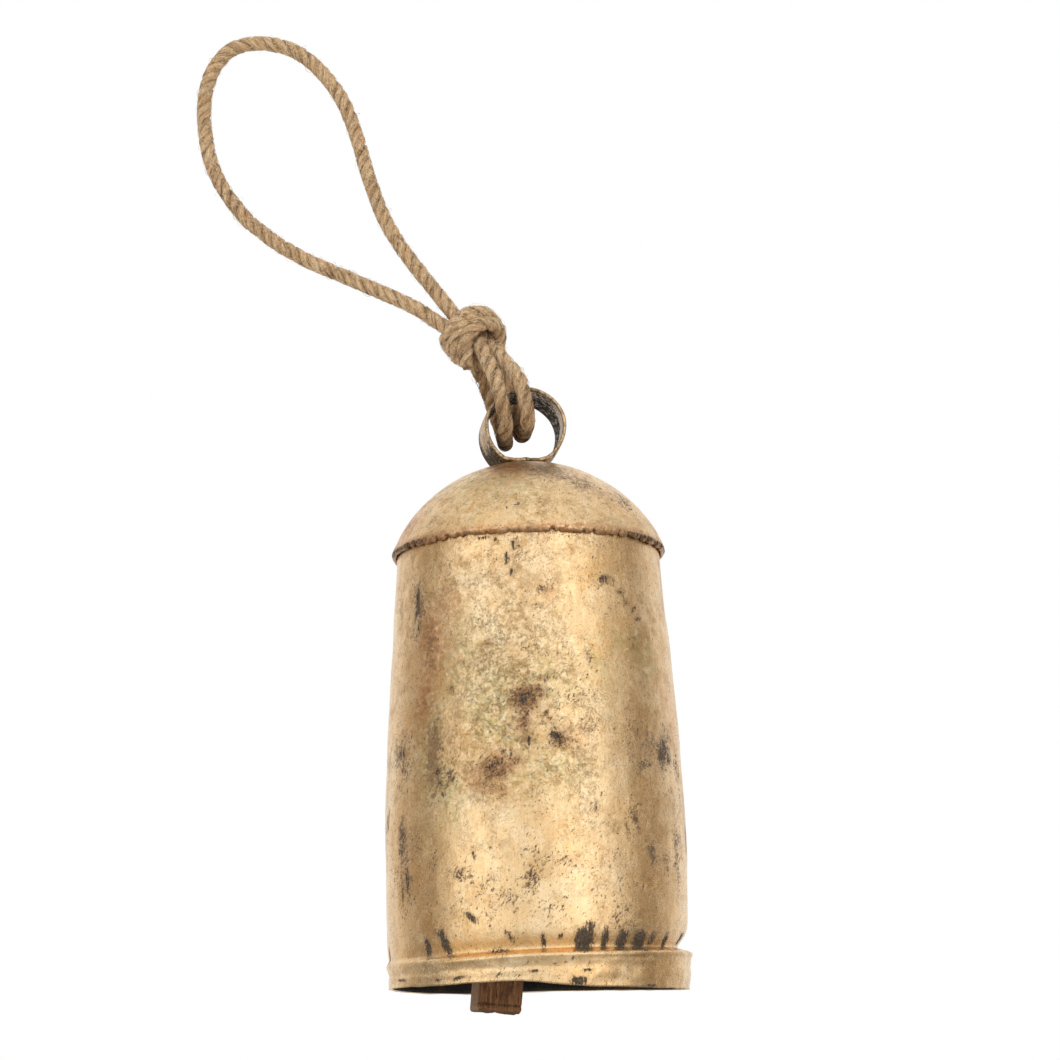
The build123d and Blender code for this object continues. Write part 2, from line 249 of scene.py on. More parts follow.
# ------------------------------------------------------------------ materials
class Mat:
    def __init__(self, name):
        self.m = bpy.data.materials.new(name)
        self.m.use_nodes = True
        self.t = self.m.node_tree
        self.t.nodes.clear()
        self.out = self.t.nodes.new("ShaderNodeOutputMaterial")
        self._mm = None

    def node(self, kind, **props):
        n = self.t.nodes.new(kind)
        for k, v in props.items():
            setattr(n, k, v)
        return n

    def put(self, sock, val):
        if isinstance(val, bpy.types.NodeSocket):
            self.t.links.new(val, sock)
        else:
            sock.default_value = val

    def mm(self):
        if self._mm is None:
            tc = self.node("ShaderNodeTexCoord")
            self._mm = self.vmath("SCALE", tc.outputs["Object"], None, 1000.0)
        return self._mm

    def vmath(self, op, a, b=None, scale=None):
        n = self.node("ShaderNodeVectorMath", operation=op)
        self.put(n.inputs[0], a)
        if b is not None:
            self.put(n.inputs[1], b)
        if scale is not None:
            self.put(n.inputs["Scale"], scale)
        return n.outputs[1] if op in ("DOT_PRODUCT", "LENGTH", "DISTANCE") else n.outputs[0]

    def vec(self, name):
        return self.node("ShaderNodeAttribute", attribute_name=name).outputs["Vector"]

    def attr(self, name):
        return self.node("ShaderNodeAttribute", attribute_name=name).outputs["Fac"]

    def noise(self, v, size, detail=2.0, rough=0.5, dist=0.0, stretch=None, shift=None, color=False):
        """size is the feature size in the units of v."""
        if stretch is not None:
            v = self.vmath("MULTIPLY", v, tuple(1.0 / s for s in stretch))
        if shift is not None:
            v = self.vmath("ADD", v, shift)
        n = self.node("ShaderNodeTexNoise")
        self.put(n.inputs["Vector"], v)
        n.inputs["Scale"].default_value = 1.0 / size
        n.inputs["Detail"].default_value = detail
        n.inputs["Roughness"].default_value = rough
        n.inputs["Distortion"].default_value = dist
        return n.outputs[1] if color else n.outputs[0]

    def voro(self, v, size, feature="F1", metric=None, out="Distance", stretch=None, rand=1.0):
        if stretch is not None:
            v = self.vmath("MULTIPLY", v, tuple(1.0 / s for s in stretch))
        n = self.node("ShaderNodeTexVoronoi", feature=feature)
        self.put(n.inputs["Vector"], v)
        n.inputs["Scale"].default_value = 1.0 / size
        n.inputs["Randomness"].default_value = rand
        return n.outputs[out]

    def math(self, op, a, b=0.0, c=0.0, clamp=False):
        n = self.node("ShaderNodeMath", operation=op, use_clamp=clamp)
        self.put(n.inputs[0], a)
        self.put(n.inputs[1], b)
        self.put(n.inputs[2], c)
        return n.outputs[0]

    def add(self, *xs):
        s = xs[0]
        for x in xs[1:]:
            s = self.math("ADD", s, x)
        return s

    def mul(self, *xs):
        s = xs[0]
        for x in xs[1:]:
            s = self.math("MULTIPLY", s, x)
        return s

    def rng(self, v, a, b, c=0.0, d=1.0, mode="SMOOTHSTEP"):
        n = self.node("ShaderNodeMapRange", interpolation_type=mode)
        n.clamp = True
        self.put(n.inputs["Value"], v)
        self.put(n.inputs["From Min"], a)
        self.put(n.inputs["From Max"], b)
        self.put(n.inputs["To Min"], c)
        self.put(n.inputs["To Max"], d)
        return n.outputs[0]

    def mix(self, fac, a, b, blend="MIX"):
        n = self.node("ShaderNodeMix", data_type="RGBA", blend_type=blend, clamp_factor=True)
        self.put(n.inputs[0], fac)
        for s, v in ((n.inputs[6], a), (n.inputs[7], b)):
            self.put(s, (*v, 1.0) if isinstance(v, tuple) and len(v) == 3 else v)
        return n.outputs[2]

    def lerp(self, fac, a, b):
        n = self.node("ShaderNodeMix", data_type="FLOAT", clamp_factor=True)
        self.put(n.inputs[0], fac)
        self.put(n.inputs[2], a)
        self.put(n.inputs[3], b)
        return n.outputs[0]

    def ramp(self, v, stops, mode="EASE"):
        n = self.node("ShaderNodeValToRGB")
        r = n.color_ramp
        r.interpolation = mode
        while len(r.elements) < len(stops):
            r.elements.new(0.5)
        for e, (pos, col) in zip(r.elements, stops):
            e.position = pos
            e.color = (*col, 1.0)
        self.put(n.inputs[0], v)
        return n.outputs[0]

    def bump(self, h, strength=1.0, dist=0.001, normal=None):
        n = self.node("ShaderNodeBump")
        self.put(n.inputs["Height"], h)
        self.put(n.inputs["Strength"], strength)
        n.inputs["Distance"].default_value = dist
        if normal is not None:
            self.put(n.inputs["Normal"], normal)
        return n.outputs[0]

    def finish(self, color, rough, metallic=0.0, normal=None, **more):
        n = self.node("ShaderNodeBsdfPrincipled")
        self.put(n.inputs["Base Color"], (*color, 1.0) if isinstance(color, tuple) and len(color) == 3 else color)
        self.put(n.inputs["Roughness"], rough)
        self.put(n.inputs["Metallic"], metallic)
        if normal is not None:
            self.put(n.inputs["Normal"], normal)
        for k, v in more.items():
            self.put(n.inputs[k.replace("_", " ")], v)
        self.t.links.new(n.outputs[0], self.out.inputs["Surface"])
        return self.m


def srgb(r, g, b):
    def f(c):
        c /= 255.0
        return c / 12.92 if c <= 0.04045 else ((c + 0.055) / 1.055) ** 2.4

    return (f(r), f(g), f(b))


def brass_material(name, marks=True):
    """Beaten sheet iron under a thin brassy coat: satin gold, mottled, pitted and streaked, with burnt and rusty places."""
    g = Mat(name)
    p = g.mm()
    # warped coordinates, so that stains have ragged outlines
    warp = g.noise(p, 9.0, 4.0, 0.65, color=True)
    warp = g.vmath("SUBTRACT", warp, (0.5, 0.5, 0.5))
    pw = g.vmath("ADD", p, g.vmath("SCALE", warp, None, 6.0))
    # leaning coordinates for rubbed strokes
    lean = g.vmath("ADD", pw, g.vmath("MULTIPLY", g.vmath("DOT_PRODUCT", p, (0, 0, 1)), (-0.45, 0.0, 0.0)))

    if marks:
        olive_m, rust_m, red_m, brown_m = g.attr("olive"), g.attr("rust"), g.attr("red"), g.attr("brown")
        dark_m, speck_m, leather_m = g.attr("dark"), g.attr("speck"), g.attr("leather")
    else:
        olive_m = rust_m = red_m = brown_m = dark_m = 0.0
        speck_m = leather_m = 0.25

    # broad tone of the coat
    tone = g.noise(pw, 24.0, 3.0, 0.55)
    mid = g.noise(pw, 6.0, 4.0, 0.62, shift=(31, 7, 3))
    small = g.noise(pw, 2.3, 4.0, 0.66, shift=(13, 5, 61))
    fine = g.noise(p, 0.95, 4.0, 0.70, shift=(3, 11, 5))
    # polished places, and places where the coat has gone dull and mottled
    dull = g.noise(pw, 17.0, 4.0, 0.60, shift=(70, 30, 9))
    dull = g.math("MAXIMUM", g.rng(dull, 0.44, 0.60), g.mul(leather_m, g.rng(dull, 0.34, 0.52)), clamp=True)
    dull = g.mul(dull, g.math("SUBTRACT", 1.0, g.attr("polish"), clamp=True))
    col = g.ramp(tone, [(0.30, (0.80, 0.505, 0.225)), (0.50, (0.88, 0.61, 0.320)), (0.70, (0.95, 0.72, 0.425))])
    col = g.mix(g.mul(g.rng(mid, 0.50, 0.70, 0.0, 0.60), g.lerp(dull, 0.45, 1.0)), col, (0.98, 0.80, 0.53))
    col = g.mix(g.mul(g.rng(mid, 0.48, 0.31, 0.0, 0.80), g.lerp(dull, 0.22, 1.0)), col, (0.54, 0.310, 0.122))
    col = g.mix(g.mul(g.rng(small, 0.48, 0.34, 0.0, 0.62), g.lerp(dull, 0.15, 1.0)), col, (0.47, 0.275, 0.115))
    col = g.mix(g.mul(g.rng(small, 0.54, 0.68, 0.0, 0.45), g.lerp(dull, 0.30, 1.0)), col, (1.0, 0.86, 0.61))
    col = g.mix(g.mul(g.rng(fine, 0.47, 0.30, 0.0, 0.80), g.lerp(dull, 0.42, 1.0)), col, (0.36, 0.205, 0.088))
    col = g.mix(g.mul(g.rng(fine, 0.54, 0.70, 0.0, 0.50), g.lerp(dull, 0.50, 1.0)), col, (1.0, 0.89, 0.67))

    # upright rubbing: fine lines, and broad soft strokes near the top
    brush = g.noise(p, 0.50, 2.0, 0.6, stretch=(1, 1, 24))
    col = g.mix(g.rng(brush, 0.48, 0.30, 0.0, 0.26), col, (0.50, 0.31, 0.14))
    strokes = g.noise(pw, 1.9, 3.0, 0.6, stretch=(1, 1, 7), shift=(2, 66, 4))
    col = g.mix(g.mul(g.rng(strokes, 0.47, 0.33, 0.0, 0.30), g.lerp(dull, 0.4, 1.0)), col, (0.58, 0.37, 0.18))
    col = g.mix(g.rng(strokes, 0.54, 0.68, 0.0, 0.22), col, (1.0, 0.84, 0.60))

    # the crazed coat: crevices between raised islands, the islands brighter by a painted highlight
    vein = g.noise(pw, 3.4, 6.0, 0.74, dist=0.4, shift=(40, 2, 8))
    vein = g.math("ABSOLUTE", g.math("SUBTRACT", vein, 0.5))
    crevice = g.rng(vein, 0.026, 0.0)
    island_relief_and_highlight = g.rng(vein, 0.045, 0.13)
    patch = g.mul(leather_m, g.rng(g.noise(pw, 9.0, 4.0, 0.65, shift=(4, 88, 6)), 0.42, 0.60, 0.25, 1.0))
    col = g.mix(g.mul(crevice, g.mul(patch, 0.75)), col, (0.30, 0.185, 0.070))
    # painted highlight: the raised islands lightened towards cream
    col = g.mix(g.mul(island_relief_and_highlight, g.mul(patch, 0.45)), col, (1.0, 0.90, 0.62))

    # olive bloom
    blotch = g.noise(pw, 4.6, 5.0, 0.68, shift=(9, 40, 2))
    olive = g.mul(olive_m, g.rng(blotch, 0.38, 0.55))
    col = g.mix(g.mul(olive, 0.72), col, g.mix(g.rng(small, 0.40, 0.60), (0.36, 0.27, 0.085), (0.68, 0.59, 0.26)))
    green_pale = g.mul(olive_m, g.rng(g.noise(pw, 2.6, 4.0, 0.66, shift=(2, 3, 70)), 0.50, 0.64))
    col = g.mix(g.mul(green_pale, 0.62), col, (0.96, 0.90, 0.62))
    # pinkish and brown stains
    red = g.mul(red_m, g.rng(g.noise(pw, 3.4, 5.0, 0.68, shift=(50, 4, 9)), 0.30, 0.52))
    col = g.mix(g.mul(red, 0.80), col, g.mix(g.rng(small, 0.40, 0.62), (0.46, 0.190, 0.075), (0.74, 0.41, 0.21)))
    brown = g.rng(g.add(brown_m, g.mul(g.math("SUBTRACT", g.noise(pw, 2.2, 5.0, 0.70, shift=(8, 8, 30)), 0.5), 1.7)), 0.34, 0.66)
    brown = g.mul(brown, g.rng(brown_m, 0.03, 0.30))
    col = g.mix(g.mul(brown, 0.80), col, g.mix(g.rng(fine, 0.40, 0.60), (0.17, 0.092, 0.045), (0.34, 0.20, 0.10)))
    # a general dirtying in the low places
    low = g.noise(pw, 13.0, 5.0, 0.65, shift=(60, 60, 12))
    grime = g.rng(low, 0.42, 0.28)
    col = g.mix(g.mul(grime, 0.45), col, (0.40, 0.25, 0.12))

    # painted warm reflection along the groove, strongest on the front
    col = g.mix(g.mul(g.attr("painted_groove_reflection"), 0.60), col, (0.80, 0.405, 0.110))

    # rust: brown crust with a dark heart
    rust_n = g.noise(pw, 1.1, 5.0, 0.80, shift=(12, 90, 3))
    rust = g.rng(g.add(rust_m, g.mul(g.math("SUBTRACT", rust_n, 0.5), 2.2)), 0.40, 0.60)
    rust = g.mul(rust, g.rng(rust_m, 0.05, 0.30))
    halo_r = g.mul(g.rng(rust_m, 0.05, 0.45), g.rng(small, 0.36, 0.56))
    col = g.mix(g.mul(halo_r, 0.60), col, (0.42, 0.225, 0.105))
    col = g.mix(g.mul(rust, 0.92), col, g.mix(g.rng(fine, 0.43, 0.55), (0.060, 0.030, 0.016), (0.42, 0.215, 0.090)))

    # black scale left where the coat missed: ragged upright strokes
    stroke = g.noise(p, 0.80, 5.0, 0.78, stretch=(1, 1, 3.4), shift=(5, 3, 1))
    dark = g.rng(g.add(dark_m, g.mul(g.math("SUBTRACT", stroke, 0.5), 3.1)), 0.45, 0.58)
    dark = g.mul(dark, g.rng(dark_m, 0.06, 0.34))
    halo_d = g.mul(g.rng(dark_m, 0.03, 0.45), g.rng(small, 0.38, 0.58))
    col = g.mix(g.mul(halo_d, 0.50), col, (0.36, 0.22, 0.11))

    # rubbed-through places: clusters of small dark strokes, nearly none between
    curl = g.math("ABSOLUTE", g.math("SUBTRACT", g.noise(p, 1.9, 4.0, 0.72, shift=(17, 3, 29)), 0.5))
    line = g.mul(g.rng(curl, 0.016, 0.004), g.rng(g.noise(pw, 7.0, 4.0, 0.68, shift=(6, 21, 80)), 0.50, 0.62), g.lerp(dull, 0.45, 1.0))
    cluster = g.noise(pw, 11.0, 4.0, 0.70, shift=(77, 5, 44))
    dens = g.mul(g.rng(cluster, 0.38, 0.62, 0.30, 1.25), speck_m)
    pit_n = g.noise(lean, 0.95, 5.0, 0.74, stretch=(1, 1, 1.7), shift=(1, 71, 9))
    pit = g.rng(g.add(pit_n, g.mul(dens, 0.135)), 0.640, 0.670)
    pit_f = g.noise(p, 0.50, 2.0, 0.6, shift=(31, 1, 9))
    pit2 = g.rng(g.add(pit_f, g.mul(dens, 0.12)), 0.718, 0.746)
    fleck_n = g.noise(lean, 2.4, 5.0, 0.74, stretch=(1, 1, 1.6), shift=(14, 2, 55))
    fleck = g.rng(g.add(fleck_n, g.mul(dens, 0.120)), 0.662, 0.694)
    spots = g.math("MAXIMUM", g.math("MAXIMUM", pit, g.mul(pit2, 0.8)), fleck, clamp=True)
    soft = g.rng(g.add(fleck_n, g.mul(dens, 0.125)), 0.52, 0.68)
    col = g.mix(g.mul(soft, g.rng(speck_m, 0.2, 0.9, 0.06, 0.42)), col, (0.38, 0.235, 0.120))
    halo = g.rng(g.add(pit_n, g.mul(dens, 0.135)), 0.58, 0.66)
    col = g.mix(g.mul(halo, 0.30), col, (0.42, 0.25, 0.12))
    col = g.mix(g.mul(line, 0.62), col, (0.255, 0.150, 0.068))
    col = g.mix(g.mul(spots, 0.90), col, g.mix(g.rng(fine, 0.40, 0.60), (0.058, 0.036, 0.024), (0.15, 0.092, 0.050)))
    col = g.mix(g.mul(dark, 0.95), col, g.mix(g.rng(fine, 0.42, 0.62), (0.024, 0.019, 0.016), (0.105, 0.072, 0.048)))
    black = g.math("MAXIMUM", dark, g.mul(spots, 0.80), clamp=True)

    metal = g.math("SUBTRACT", 1.0, g.mul(black, 0.90), clamp=True)
    metal = g.math("SUBTRACT", metal, g.mul(rust, 0.65), clamp=True)
    metal = g.math("SUBTRACT", metal, g.mul(brown, 0.30), clamp=True)
    rough = g.lerp(dull, 0.24, g.lerp(g.rng(mid, 0.3, 0.7), 0.38, 0.26))
    rough = g.add(rough, g.mul(g.rng(fine, 0.35, 0.65), 0.08))
    rough = g.add(rough, g.mul(olive, 0.08))
    rough = g.lerp(g.math("MAXIMUM", black, rust, clamp=True), rough, 0.70)

    # relief, in millimetres
    h = g.mul(g.math("SUBTRACT", g.mul(island_relief_and_highlight, 0.8), crevice), g.mul(patch, 0.110))
    h = g.add(h, g.mul(g.noise(pw, 4.5, 3.0, 0.55, shift=(20, 5, 3)), g.lerp(dull, 0.08, 0.20)))
    h = g.add(h, g.mul(small, g.lerp(patch, g.lerp(dull, 0.018, 0.06), 0.24)))
    h = g.add(h, g.mul(fine, g.lerp(patch, g.lerp(dull, 0.020, 0.040), 0.120)))
    h = g.add(h, g.mul(brush, 0.012), g.mul(strokes, 0.05))
    h = g.math("SUBTRACT", h, g.mul(black, 0.08))
    h = g.math("SUBTRACT", h, g.mul(line, 0.05))
    h = g.math("SUBTRACT", h, g.mul(rust, 0.06))
    normal = g.bump(h, 1.0, 0.001)
    return g.finish(col, rough, metal, normal, Specular_IOR_Level=0.4)


def soot_material(name):
    """The unpolished inside: dark fire scale with a little brown in it."""
    g = Mat(name)
    p = g.mm()
    n = g.noise(p, 11.0, 4.0, 0.6)
    f = g.noise(p, 1.2, 3.0, 0.6, shift=(4, 4, 4))
    col = g.ramp(n, [(0.32, (0.012, 0.010, 0.009)), (0.55, (0.030, 0.022, 0.016)), (0.72, (0.075, 0.045, 0.024))])
    col = g.mix(g.rng(f, 0.56, 0.70, 0.0, 0.5), col, (0.12, 0.075, 0.035))
    h = g.add(g.mul(n, 0.20), g.mul(f, 0.05))
    return g.finish(col, g.lerp(f, 0.62, 0.85), 0.35, g.bump(h, 1.0, 0.001))


def ring_material(name):
    """Strip worn bright at its edges, tan outside, black scale inside."""
    g = Mat(name)
    p = g.mm()
    inner, edge, low, tan = g.attr("inner"), g.attr("edge"), g.attr("low"), g.attr("tan")
    n = g.noise(p, 3.2, 4.0, 0.65)
    f = g.noise(p, 0.9, 4.0, 0.72, shift=(7, 7, 1))
    outer = g.ramp(n, [(0.32, (0.30, 0.175, 0.075)), (0.50, (0.56, 0.370, 0.190)), (0.68, (0.80, 0.60, 0.36))])
    outer = g.mix(g.rng(f, 0.49, 0.38, 0.0, 0.88), outer, (0.16, 0.098, 0.052))
    scale = g.ramp(f, [(0.30, (0.013, 0.012, 0.011)), (0.52, (0.034, 0.031, 0.028)), (0.72, (0.105, 0.085, 0.062))])
    worn = g.rng(g.add(g.noise(p, 1.9, 6.0, 0.85, shift=(3, 60, 3)), g.mul(tan, 0.20)), 0.535, 0.575)
    inside = g.mix(worn, scale, g.mix(g.rng(f, 0.42, 0.58), (0.20, 0.118, 0.058), (0.84, 0.65, 0.43)))
    grey = g.rng(g.add(low, g.mul(g.math("SUBTRACT", g.noise(p, 1.7, 6.0, 0.85, shift=(30, 2, 3)), 0.5), 3.4)), 0.46, 0.66)
    outside = g.mix(grey, outer, g.mix(g.rng(f, 0.46, 0.64), (0.022, 0.018, 0.014), (0.30, 0.215, 0.130)))
    col = g.mix(inner, outside, inside)
    bright = g.rng(g.add(edge, g.mul(g.math("SUBTRACT", g.noise(p, 2.0, 5.0, 0.75, shift=(9, 9, 31)), 0.5), 3.0)), 0.85, 1.20)
    col = g.mix(g.mul(edge, 0.55), col, (0.22, 0.135, 0.070))
    col = g.mix(g.mul(bright, 0.85), col, g.mix(f, (0.52, 0.34, 0.17), (0.90, 0.70, 0.44)))
    shade = g.math("MAXIMUM", g.mul(inner, g.math("SUBTRACT", 1.0, worn)), grey, clamp=True)
    metal = g.lerp(shade, 0.90, 0.0)
    metal = g.math("MAXIMUM", metal, g.mul(bright, 0.9), clamp=True)
    rough = g.lerp(shade, 0.38, 0.78)
    rough = g.lerp(bright, rough, 0.32)
    h = g.add(g.mul(n, 0.16), g.mul(f, 0.09), g.mul(worn, 0.04))
    return g.finish(col, rough, metal, g.bump(h, 1.0, 0.001), Specular_IOR_Level=0.12)


def braze_material(name):
    g = Mat(name)
    p = g.mm()
    n = g.noise(p, 2.4, 4.0, 0.65)
    col = g.ramp(n, [(0.30, (0.09, 0.048, 0.022)), (0.50, (0.30, 0.165, 0.070)), (0.70, (0.62, 0.40, 0.19))])
    return g.finish(col, g.lerp(n, 0.50, 0.30), 0.85, g.bump(g.mul(n, 0.25), 1.0, 0.001))


def wire_material(name):
    g = Mat(name)
    p = g.mm()
    n = g.noise(p, 2.0, 4.0, 0.65)
    col = g.ramp(n, [(0.32, (0.030, 0.025, 0.021)), (0.52, (0.085, 0.068, 0.052)), (0.70, (0.24, 0.135, 0.060))])
    return g.finish(col, g.lerp(n, 0.42, 0.70), 0.75, g.bump(g.mul(n, 0.10), 1.0, 0.001))


def jute_material(name, dark=0.0):
    """Twisted jute: fibres along each strand, with painted shade in the grooves between strands."""
    g = Mat(name)
    fib = g.vec("fib")
    p = g.mm()
    strand_gap_shade, age = g.attr("strand_gap_shade"), g.attr("age")
    streak = g.noise(fib, 0.40, 4.0, 0.75, stretch=(1, 1, 7), dist=0.5)
    yarn = g.noise(fib, 1.1, 3.0, 0.65, stretch=(1, 1, 5), shift=(9, 4, 2))
    mat_ = g.noise(p, 0.9, 4.0, 0.75)
    blot = g.noise(p, 5.0, 3.0, 0.6, shift=(1, 44, 2))
    col = g.ramp(streak, [(0.30, (0.270, 0.150, 0.062)), (0.45, (0.600, 0.395, 0.205)), (0.56, (0.800, 0.575, 0.340)), (0.70, (0.960, 0.790, 0.560))])
    col = g.mix(g.rng(mat_, 0.47, 0.33, 0.0, 0.85), col, (0.200, 0.100, 0.038))
    col = g.mix(g.rng(mat_, 0.54, 0.68, 0.0, 0.60), col, (0.97, 0.83, 0.61))
    col = g.mix(g.rng(yarn, 0.47, 0.32, 0.0, 0.50), col, (0.260, 0.145, 0.065))
    col = g.mix(g.rng(blot, 0.50, 0.66, 0.0, 0.38), col, (0.72, 0.400, 0.160))
    # painted shade in the grooves between the strands, broken up by noise
    painted_gap_shade = g.mul(strand_gap_shade, g.rng(g.noise(p, 3.0, 4.0, 0.70, shift=(5, 5, 5)), 0.42, 0.60, 0.08, 1.0))
    col = g.mix(g.mul(painted_gap_shade, 0.85), col, (0.120, 0.060, 0.026))
    col = g.mix(g.mul(age, 0.62), col, g.mix(streak, (0.110, 0.052, 0.020), (0.44, 0.25, 0.110)))
    h = g.add(g.mul(streak, 0.30), g.mul(mat_, 0.34))
    normal = g.bump(h, 1.0, 0.001)
    return g.finish(col, 0.88, 0.0, normal, Sheen_Weight=0.10, Sheen_Roughness=0.5, Specular_IOR_Level=0.15)


def fibre_material(name):
    g = Mat(name)
    n = g.noise(g.mm(), 1.2, 2.0)
    tone = g.add(g.attr("tone"), g.mul(g.math("SUBTRACT", n, 0.5), 0.35))
    col = g.ramp(tone, [(0.10, (0.150, 0.075, 0.030)), (0.36, (0.480, 0.295, 0.140)), (0.60, (0.800, 0.590, 0.360)), (0.90, (0.980, 0.850, 0.650))])
    return g.finish(col, 0.75, 0.0, None, Specular_IOR_Level=0.3)


def wood_material(name):
    """Sawn stick: grain along its length, saw lines across the left face, dirty end."""
    g = Mat(name)
    q = g.vec("bar")          # millimetres: across, across, along from the lower end
    grain = g.noise(q, 1.1, 4.0, 0.65, stretch=(1, 1, 22), dist=0.3)
    broad = g.noise(q, 5.0, 3.0, 0.6, stretch=(1, 1, 9), shift=(5, 3, 1))
    pores = g.noise(q, 0.32, 2.0, 0.6, stretch=(1, 1, 16), shift=(1, 9, 1))
    saw = g.noise(q, 0.55, 2.0, 0.6, stretch=(30, 30, 1), shift=(3, 3, 8))
    pale, end, cut = g.attr("pale"), g.attr("end"), g.attr("cut")
    col = g.ramp(grain, [(0.33, (0.060, 0.024, 0.010)), (0.48, (0.200, 0.088, 0.036)), (0.60, (0.330, 0.165, 0.078)), (0.74, (0.470, 0.265, 0.140))])
    col = g.mix(g.rng(broad, 0.42, 0.66, 0.0, 0.45), col, (0.330, 0.155, 0.070))
    col = g.mix(g.rng(pores, 0.46, 0.34, 0.0, 0.85), col, (0.035, 0.017, 0.009))
    col = g.mix(g.rng(g.noise(q, 3.4, 4.0, 0.70, stretch=(1, 1, 2.2), shift=(8, 1, 5)), 0.50, 0.66, 0.0, 0.65), col, (0.075, 0.036, 0.018))
    col = g.mix(g.mul(pale, g.lerp(grain, 0.45, 0.85)), col, (0.47, 0.31, 0.20))
    col = g.mix(g.mul(end, g.rng(grain, 0.35, 0.65, 0.35, 0.85)), col, (0.060, 0.034, 0.020))
    col = g.mix(g.mul(cut, 0.85), col, (0.030, 0.018, 0.012))
    h = g.add(g.mul(grain, 0.30), g.mul(pores, 0.10), g.mul(saw, 0.12))
    return g.finish(col, 0.85, 0.0, g.bump(h, 1.0, 0.001), Specular_IOR_Level=0.10)


BRASS = brass_material("beaten_brass")
SOOT = soot_material("inside_scale")
RINGM = ring_material("worn_strip")
BRAZE = braze_material("braze")
WIRE = wire_material("iron_wire")
JUTE = jute_material("jute")
FIBRE = fibre_material("jute_fibre")
WOOD = wood_material("sawn_wood")

# ------------------------------------------------------------------ body
SHEET = 1.2
BODY_TOP = 187.3
UPPER = np.array([
    (24.6, 63.1), (37.0, 63.1), (49.5, 63.0), (62.0, 63.0), (74.6, 62.5), (87.2, 62.2), (99.9, 61.6), (112.7, 61.1),
    (125.5, 60.4), (138.5, 59.6), (151.4, 58.6), (164.4, 57.4), (176.0, 56.6), (187.3, 56.2),
])
UPPER_FIT = np.polyfit((UPPER[:, 0] - 100) / 80, UPPER[:, 1], 4)


def wall_radius(z):
    zc = np.clip(z, 30.0, 190.0)
    r = np.polyval(UPPER_FIT, (zc - 100) / 80)
    return r


mouth_wave = around([
    (-180, 1.6), (-150, 1.5), (-134, 1.3), (-115, 1.7), (-98, 2.1), (-91, 1.5), (-82, 0.2), (-67, -1.1), (-45, -1.5), (-20, -1.6),
    (0, -1.6), (30, -0.8), (60, 0.4), (90, 0.9), (120, 0.2), (150, 0.8)], 8)
groove_at = around([
    (-180, 13.4), (-150, 13.2), (-135, 13.3), (-115, 13.9), (-90, 14.7), (-45, 15.1), (0, 15.8), (45, 15.2), (90, 15.8), (135, 14.6)], 16)
groove_deep = around([
    (-180, 0.7), (-150, 1.0), (-125, 1.7), (-105, 2.3), (-80, 2.8), (-60, 3.2), (-30, 4.0), (-8, 5.4), (12, 5.0), (40, 3.6), (90, 2.6), (140, 1.6)], 16)
band_bulge = around([(-180, -0.6), (-120, 0.1), (-60, 0.2), (0, -0.5), (60, 0.4), (120, 0.1)], 20)


def body_radius(th, z, z_nominal):
    """Outer radius at an angle in degrees. z_nominal is the height before the rim's waves."""
    r = wall_radius(z)
    gz = z_nominal - 15.5
    up = 0.72 * np.exp(-np.abs(np.maximum(gz, 0) / 4.0) ** 1.6) + 0.28 * np.exp(-np.abs(np.maximum(gz, 0) / 11.0) ** 1.8)
    down = np.exp(-(np.maximum(-gz, 0) / 1.35) ** 2.4)
    r = r - groove_deep(th) * np.where(gz > 0, up, down)
    r = r + (0.35 + band_bulge(th)) * np.exp(-(((z_nominal - 10.0) / 4.6) ** 2))
    r = r - 0.9 * (1 - smooth(0.0, 9.0, z_nominal))
    r = r + 0.75 * np.exp(-(((z_nominal - 12.6) / 1.25) ** 2)) * np.clip(groove_deep(th) / 2.2, 0, 1.2)
    r = r - 0.65 * np.exp(-(((z_nominal - 7.9) / 2.0) ** 2))
    return r


def beaten(p, seed=3):
    """Hammer work on the sheet, in millimetres, at points in millimetres."""
    d = 0.56 * fbm(p / 34.0, 2, seed)
    d = d + 0.28 * fbm(p / 13.0, 2, seed + 10)
    d = d + 0.075 * fbm(p / 4.2, 2, seed + 20)
    return d


def blob(th, z, th0, z0, rs, rz, lean=0.0, amp=1.0, radius=62.0, power=2.0):
    """A soft oval patch: half sizes rs round the bell and rz up it, in millimetres, leaning by lean degrees."""
    s = ((th - th0 + 180) % 360 - 180) * math.pi / 180 * radius
    dz = z - z0
    c, n = math.cos(math.radians(lean)), math.sin(math.radians(lean))
    u, v = s * c + dz * n, -s * n + dz * c
    return amp * np.exp(-((np.abs(u) / rs) ** power + (np.abs(v) / rz) ** power))


